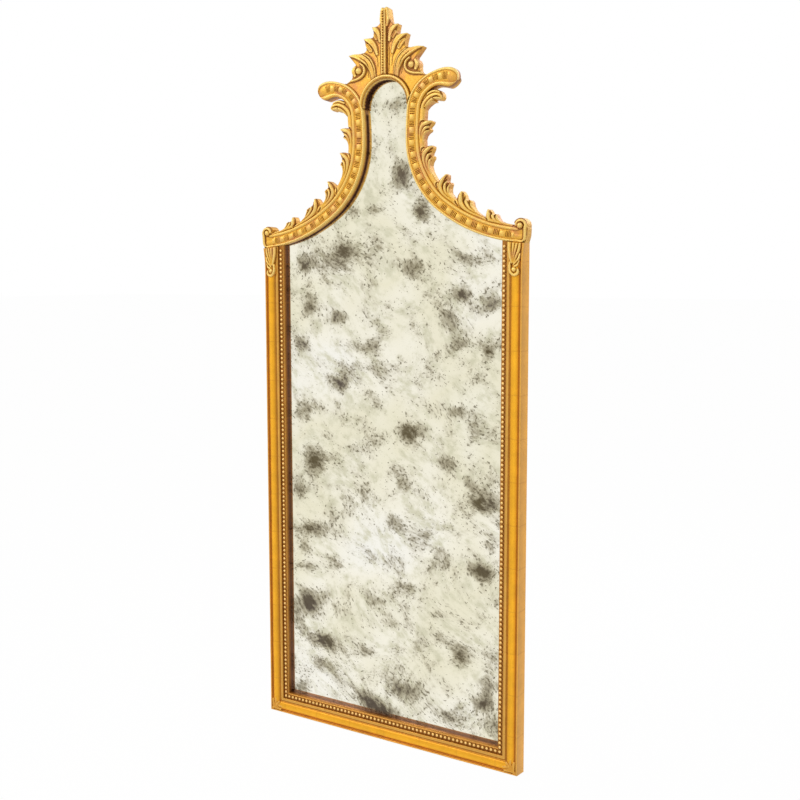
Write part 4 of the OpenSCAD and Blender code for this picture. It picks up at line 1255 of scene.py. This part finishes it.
def glassPart():
    points, quads, uv, carve = carvedPart(
        glassOutline(mirror["beyond"]), [], mirror["cell"], mirror["face"], mirror["back"],
        lambda x, z: (x, z), drop=0.0)
    x, z = points[:, 0], points[:, 2]
    weight = np.zeros(len(points))
    for bx, bz, wide, high, strength in mirror["blotches"]:
        away = ((x - bx) / (mirror["spread"] * wide)) ** 2 + ((z - bz) / (mirror["spread"] * high)) ** 2
        weight += strength * np.exp(-away)
    lone = smoothStep(0.7, 1.7, waves(x, z, 21, 120.0)) * 0.35
    carve = np.stack([np.clip(weight + lone, 0, 1.3), np.zeros(len(x)), np.zeros(len(x))], -1)
    return points, quads, uv, carve


buildPiece("mirror_sheet", [glassPart()], "mirror_glass", agedMirror())
print("glass made")


pineBoards = oldPine("old pine boards", "#B08A5E", "#8C6540", (1.2, 1.0, 9.0))
steel = dullSteel()
felt = woolFelt()
backPaint = oldPine("brown back paint", "#4E4038", "#3D322C", (1.0, 1.0, 1.0))
finishes = {
    "silvering": backPaint, "lower_board": pineBoards, "upper_board": pineBoards, "board_brads": steel,
    "mitre_splines": bareWood, "shoulder_dowels": bareWood, "crest_dowels": bareWood,
    "left_strap": steel, "right_strap": steel, "left_ring": steel, "right_ring": steel,
    "hanger_screws": steel, "wall_bumpers": felt,
}
for name, material in finishes.items():
    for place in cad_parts[name].material_slots:
        place.link = "OBJECT"
        place.material = material


view = {
    "place": (0.909, -1.686, 1.008),
    "azimuth": 28.33,
    "pitch": 5.04,
    "roll": -0.10,
    "focal": 900.0,          # in pixels of the frame
    "centre": (392.0, 358.0),    # where the line of sight meets the picture, in pixels
    "frame": 800,
    "sensor": 36,
}


def addCamera():
    az, pitch, roll = (math.radians(view[k]) for k in ("azimuth", "pitch", "roll"))
    forward = Vector((-math.sin(az) * math.cos(pitch), math.cos(az) * math.cos(pitch), -math.sin(pitch)))
    right = Vector((math.cos(az), math.sin(az), 0))
    up = right.cross(forward)
    side = right * math.cos(roll) + up * math.sin(roll)
    top = up * math.cos(roll) - right * math.sin(roll)
    data = bpy.data.cameras.new("camera")
    data.sensor_width = view["sensor"]
    data.lens = view["focal"] / view["frame"] * view["sensor"]
    data.shift_x = (view["frame"] / 2 - view["centre"][0]) / view["frame"]
    data.shift_y = (view["centre"][1] - view["frame"] / 2) / view["frame"]
    camera = bpy.data.objects.new("camera", data)
    matrix = Matrix((side, top, -forward)).transposed().to_4x4()
    matrix.translation = Vector(view["place"])
    camera.matrix_world = matrix
    bpy.context.scene.collection.objects.link(camera)
    bpy.context.scene.camera = camera


studio = {
    "floorReach": 60.0,      # metres
    "floorLevel": -0.35,     # the mirror hangs this far above it
    "floorWhite": 0.98,      # share of white where the camera or a reflection sees the floor
    "daylight": 0.62,        # strength of the light from all round
    "aim": (0.0, 0.0, 0.8),
    # place in metres, size in metres, power in watts, colour
    "lamps": {
        "key": ((-1.9, -2.6, 3.2), 1.6, 60, (1.0, 0.97, 0.92)),
        "fill": ((2.6, -2.4, 3.3), 2.2, 24, (0.95, 0.97, 1.0)),
        "rear": ((0.8, 2.8, 2.4), 2.0, 30, (1.0, 1.0, 1.0)),
    },
}


def addLamps():
    aim = Vector(studio["aim"])
    for name, (place, size, power, colour) in studio["lamps"].items():
        data = bpy.data.lights.new(name, "AREA")
        data.size = size
        data.energy = power
        data.color = colour
        lamp = bpy.data.objects.new(name, data)
        lamp.location = place
        lamp.rotation_euler = (aim - Vector(place)).to_track_quat("-Z", "Y").to_euler()
        bpy.context.scene.collection.objects.link(lamp)


def seenDirectly(tree):
    # 1 for what the camera sees, itself or in a reflection
    rays = addNode(tree, "LightPath")
    return addNode(tree, "Math", {"operation": "MAXIMUM"}, {
        0: rays.outputs["Is Camera Ray"], 1: rays.outputs["Is Glossy Ray"]}).outputs[0]


def addSurroundings():
    world = bpy.data.worlds.new("studio")
    bpy.context.scene.world = world
    world.use_nodes = True
    tree = world.node_tree
    tree.nodes.clear()
    soft = addNode(tree, "Background", inputs={
        "Color": hexColour("#F4F2EE"), "Strength": studio["daylight"]})
    white = addNode(tree, "Background", inputs={"Color": (1, 1, 1, 1), "Strength": 1.0})
    mix = addNode(tree, "MixShader", inputs={
        0: seenDirectly(tree), 1: soft.outputs[0], 2: white.outputs[0]})
    addNode(tree, "OutputWorld", inputs={"Surface": mix.outputs[0]})
    mesh = bpy.data.meshes.new("floor")
    corners = [(x * studio["floorReach"], y * studio["floorReach"], studio["floorLevel"])
               for x, y in ((-1, -1), (1, -1), (1, 1), (-1, 1))]
    mesh.from_pydata(corners, [], [(0, 1, 2, 3)])
    floor = bpy.data.objects.new("floor", mesh)
    bpy.context.scene.collection.objects.link(floor)
    material, tree = newMaterial("pale floor")
    share = addNode(tree, "Math", {"operation": "MULTIPLY"}, {
        0: seenDirectly(tree), 1: studio["floorWhite"]})
    matte = addNode(tree, "BsdfDiffuse", inputs={"Color": hexColour("#F6F5F2")})
    glow = addNode(tree, "Emission", inputs={"Color": (1, 1, 1, 1), "Strength": 1.0})
    both = addNode(tree, "MixShader", inputs={
        0: share.outputs[0], 1: matte.outputs[0], 2: glow.outputs[0]})
    mesh.materials.append(closeMaterial(material, both))


addCamera()
addSurroundings()
addLamps()
bpy.context.scene.view_settings.view_transform = "Standard"
print("scene lit")
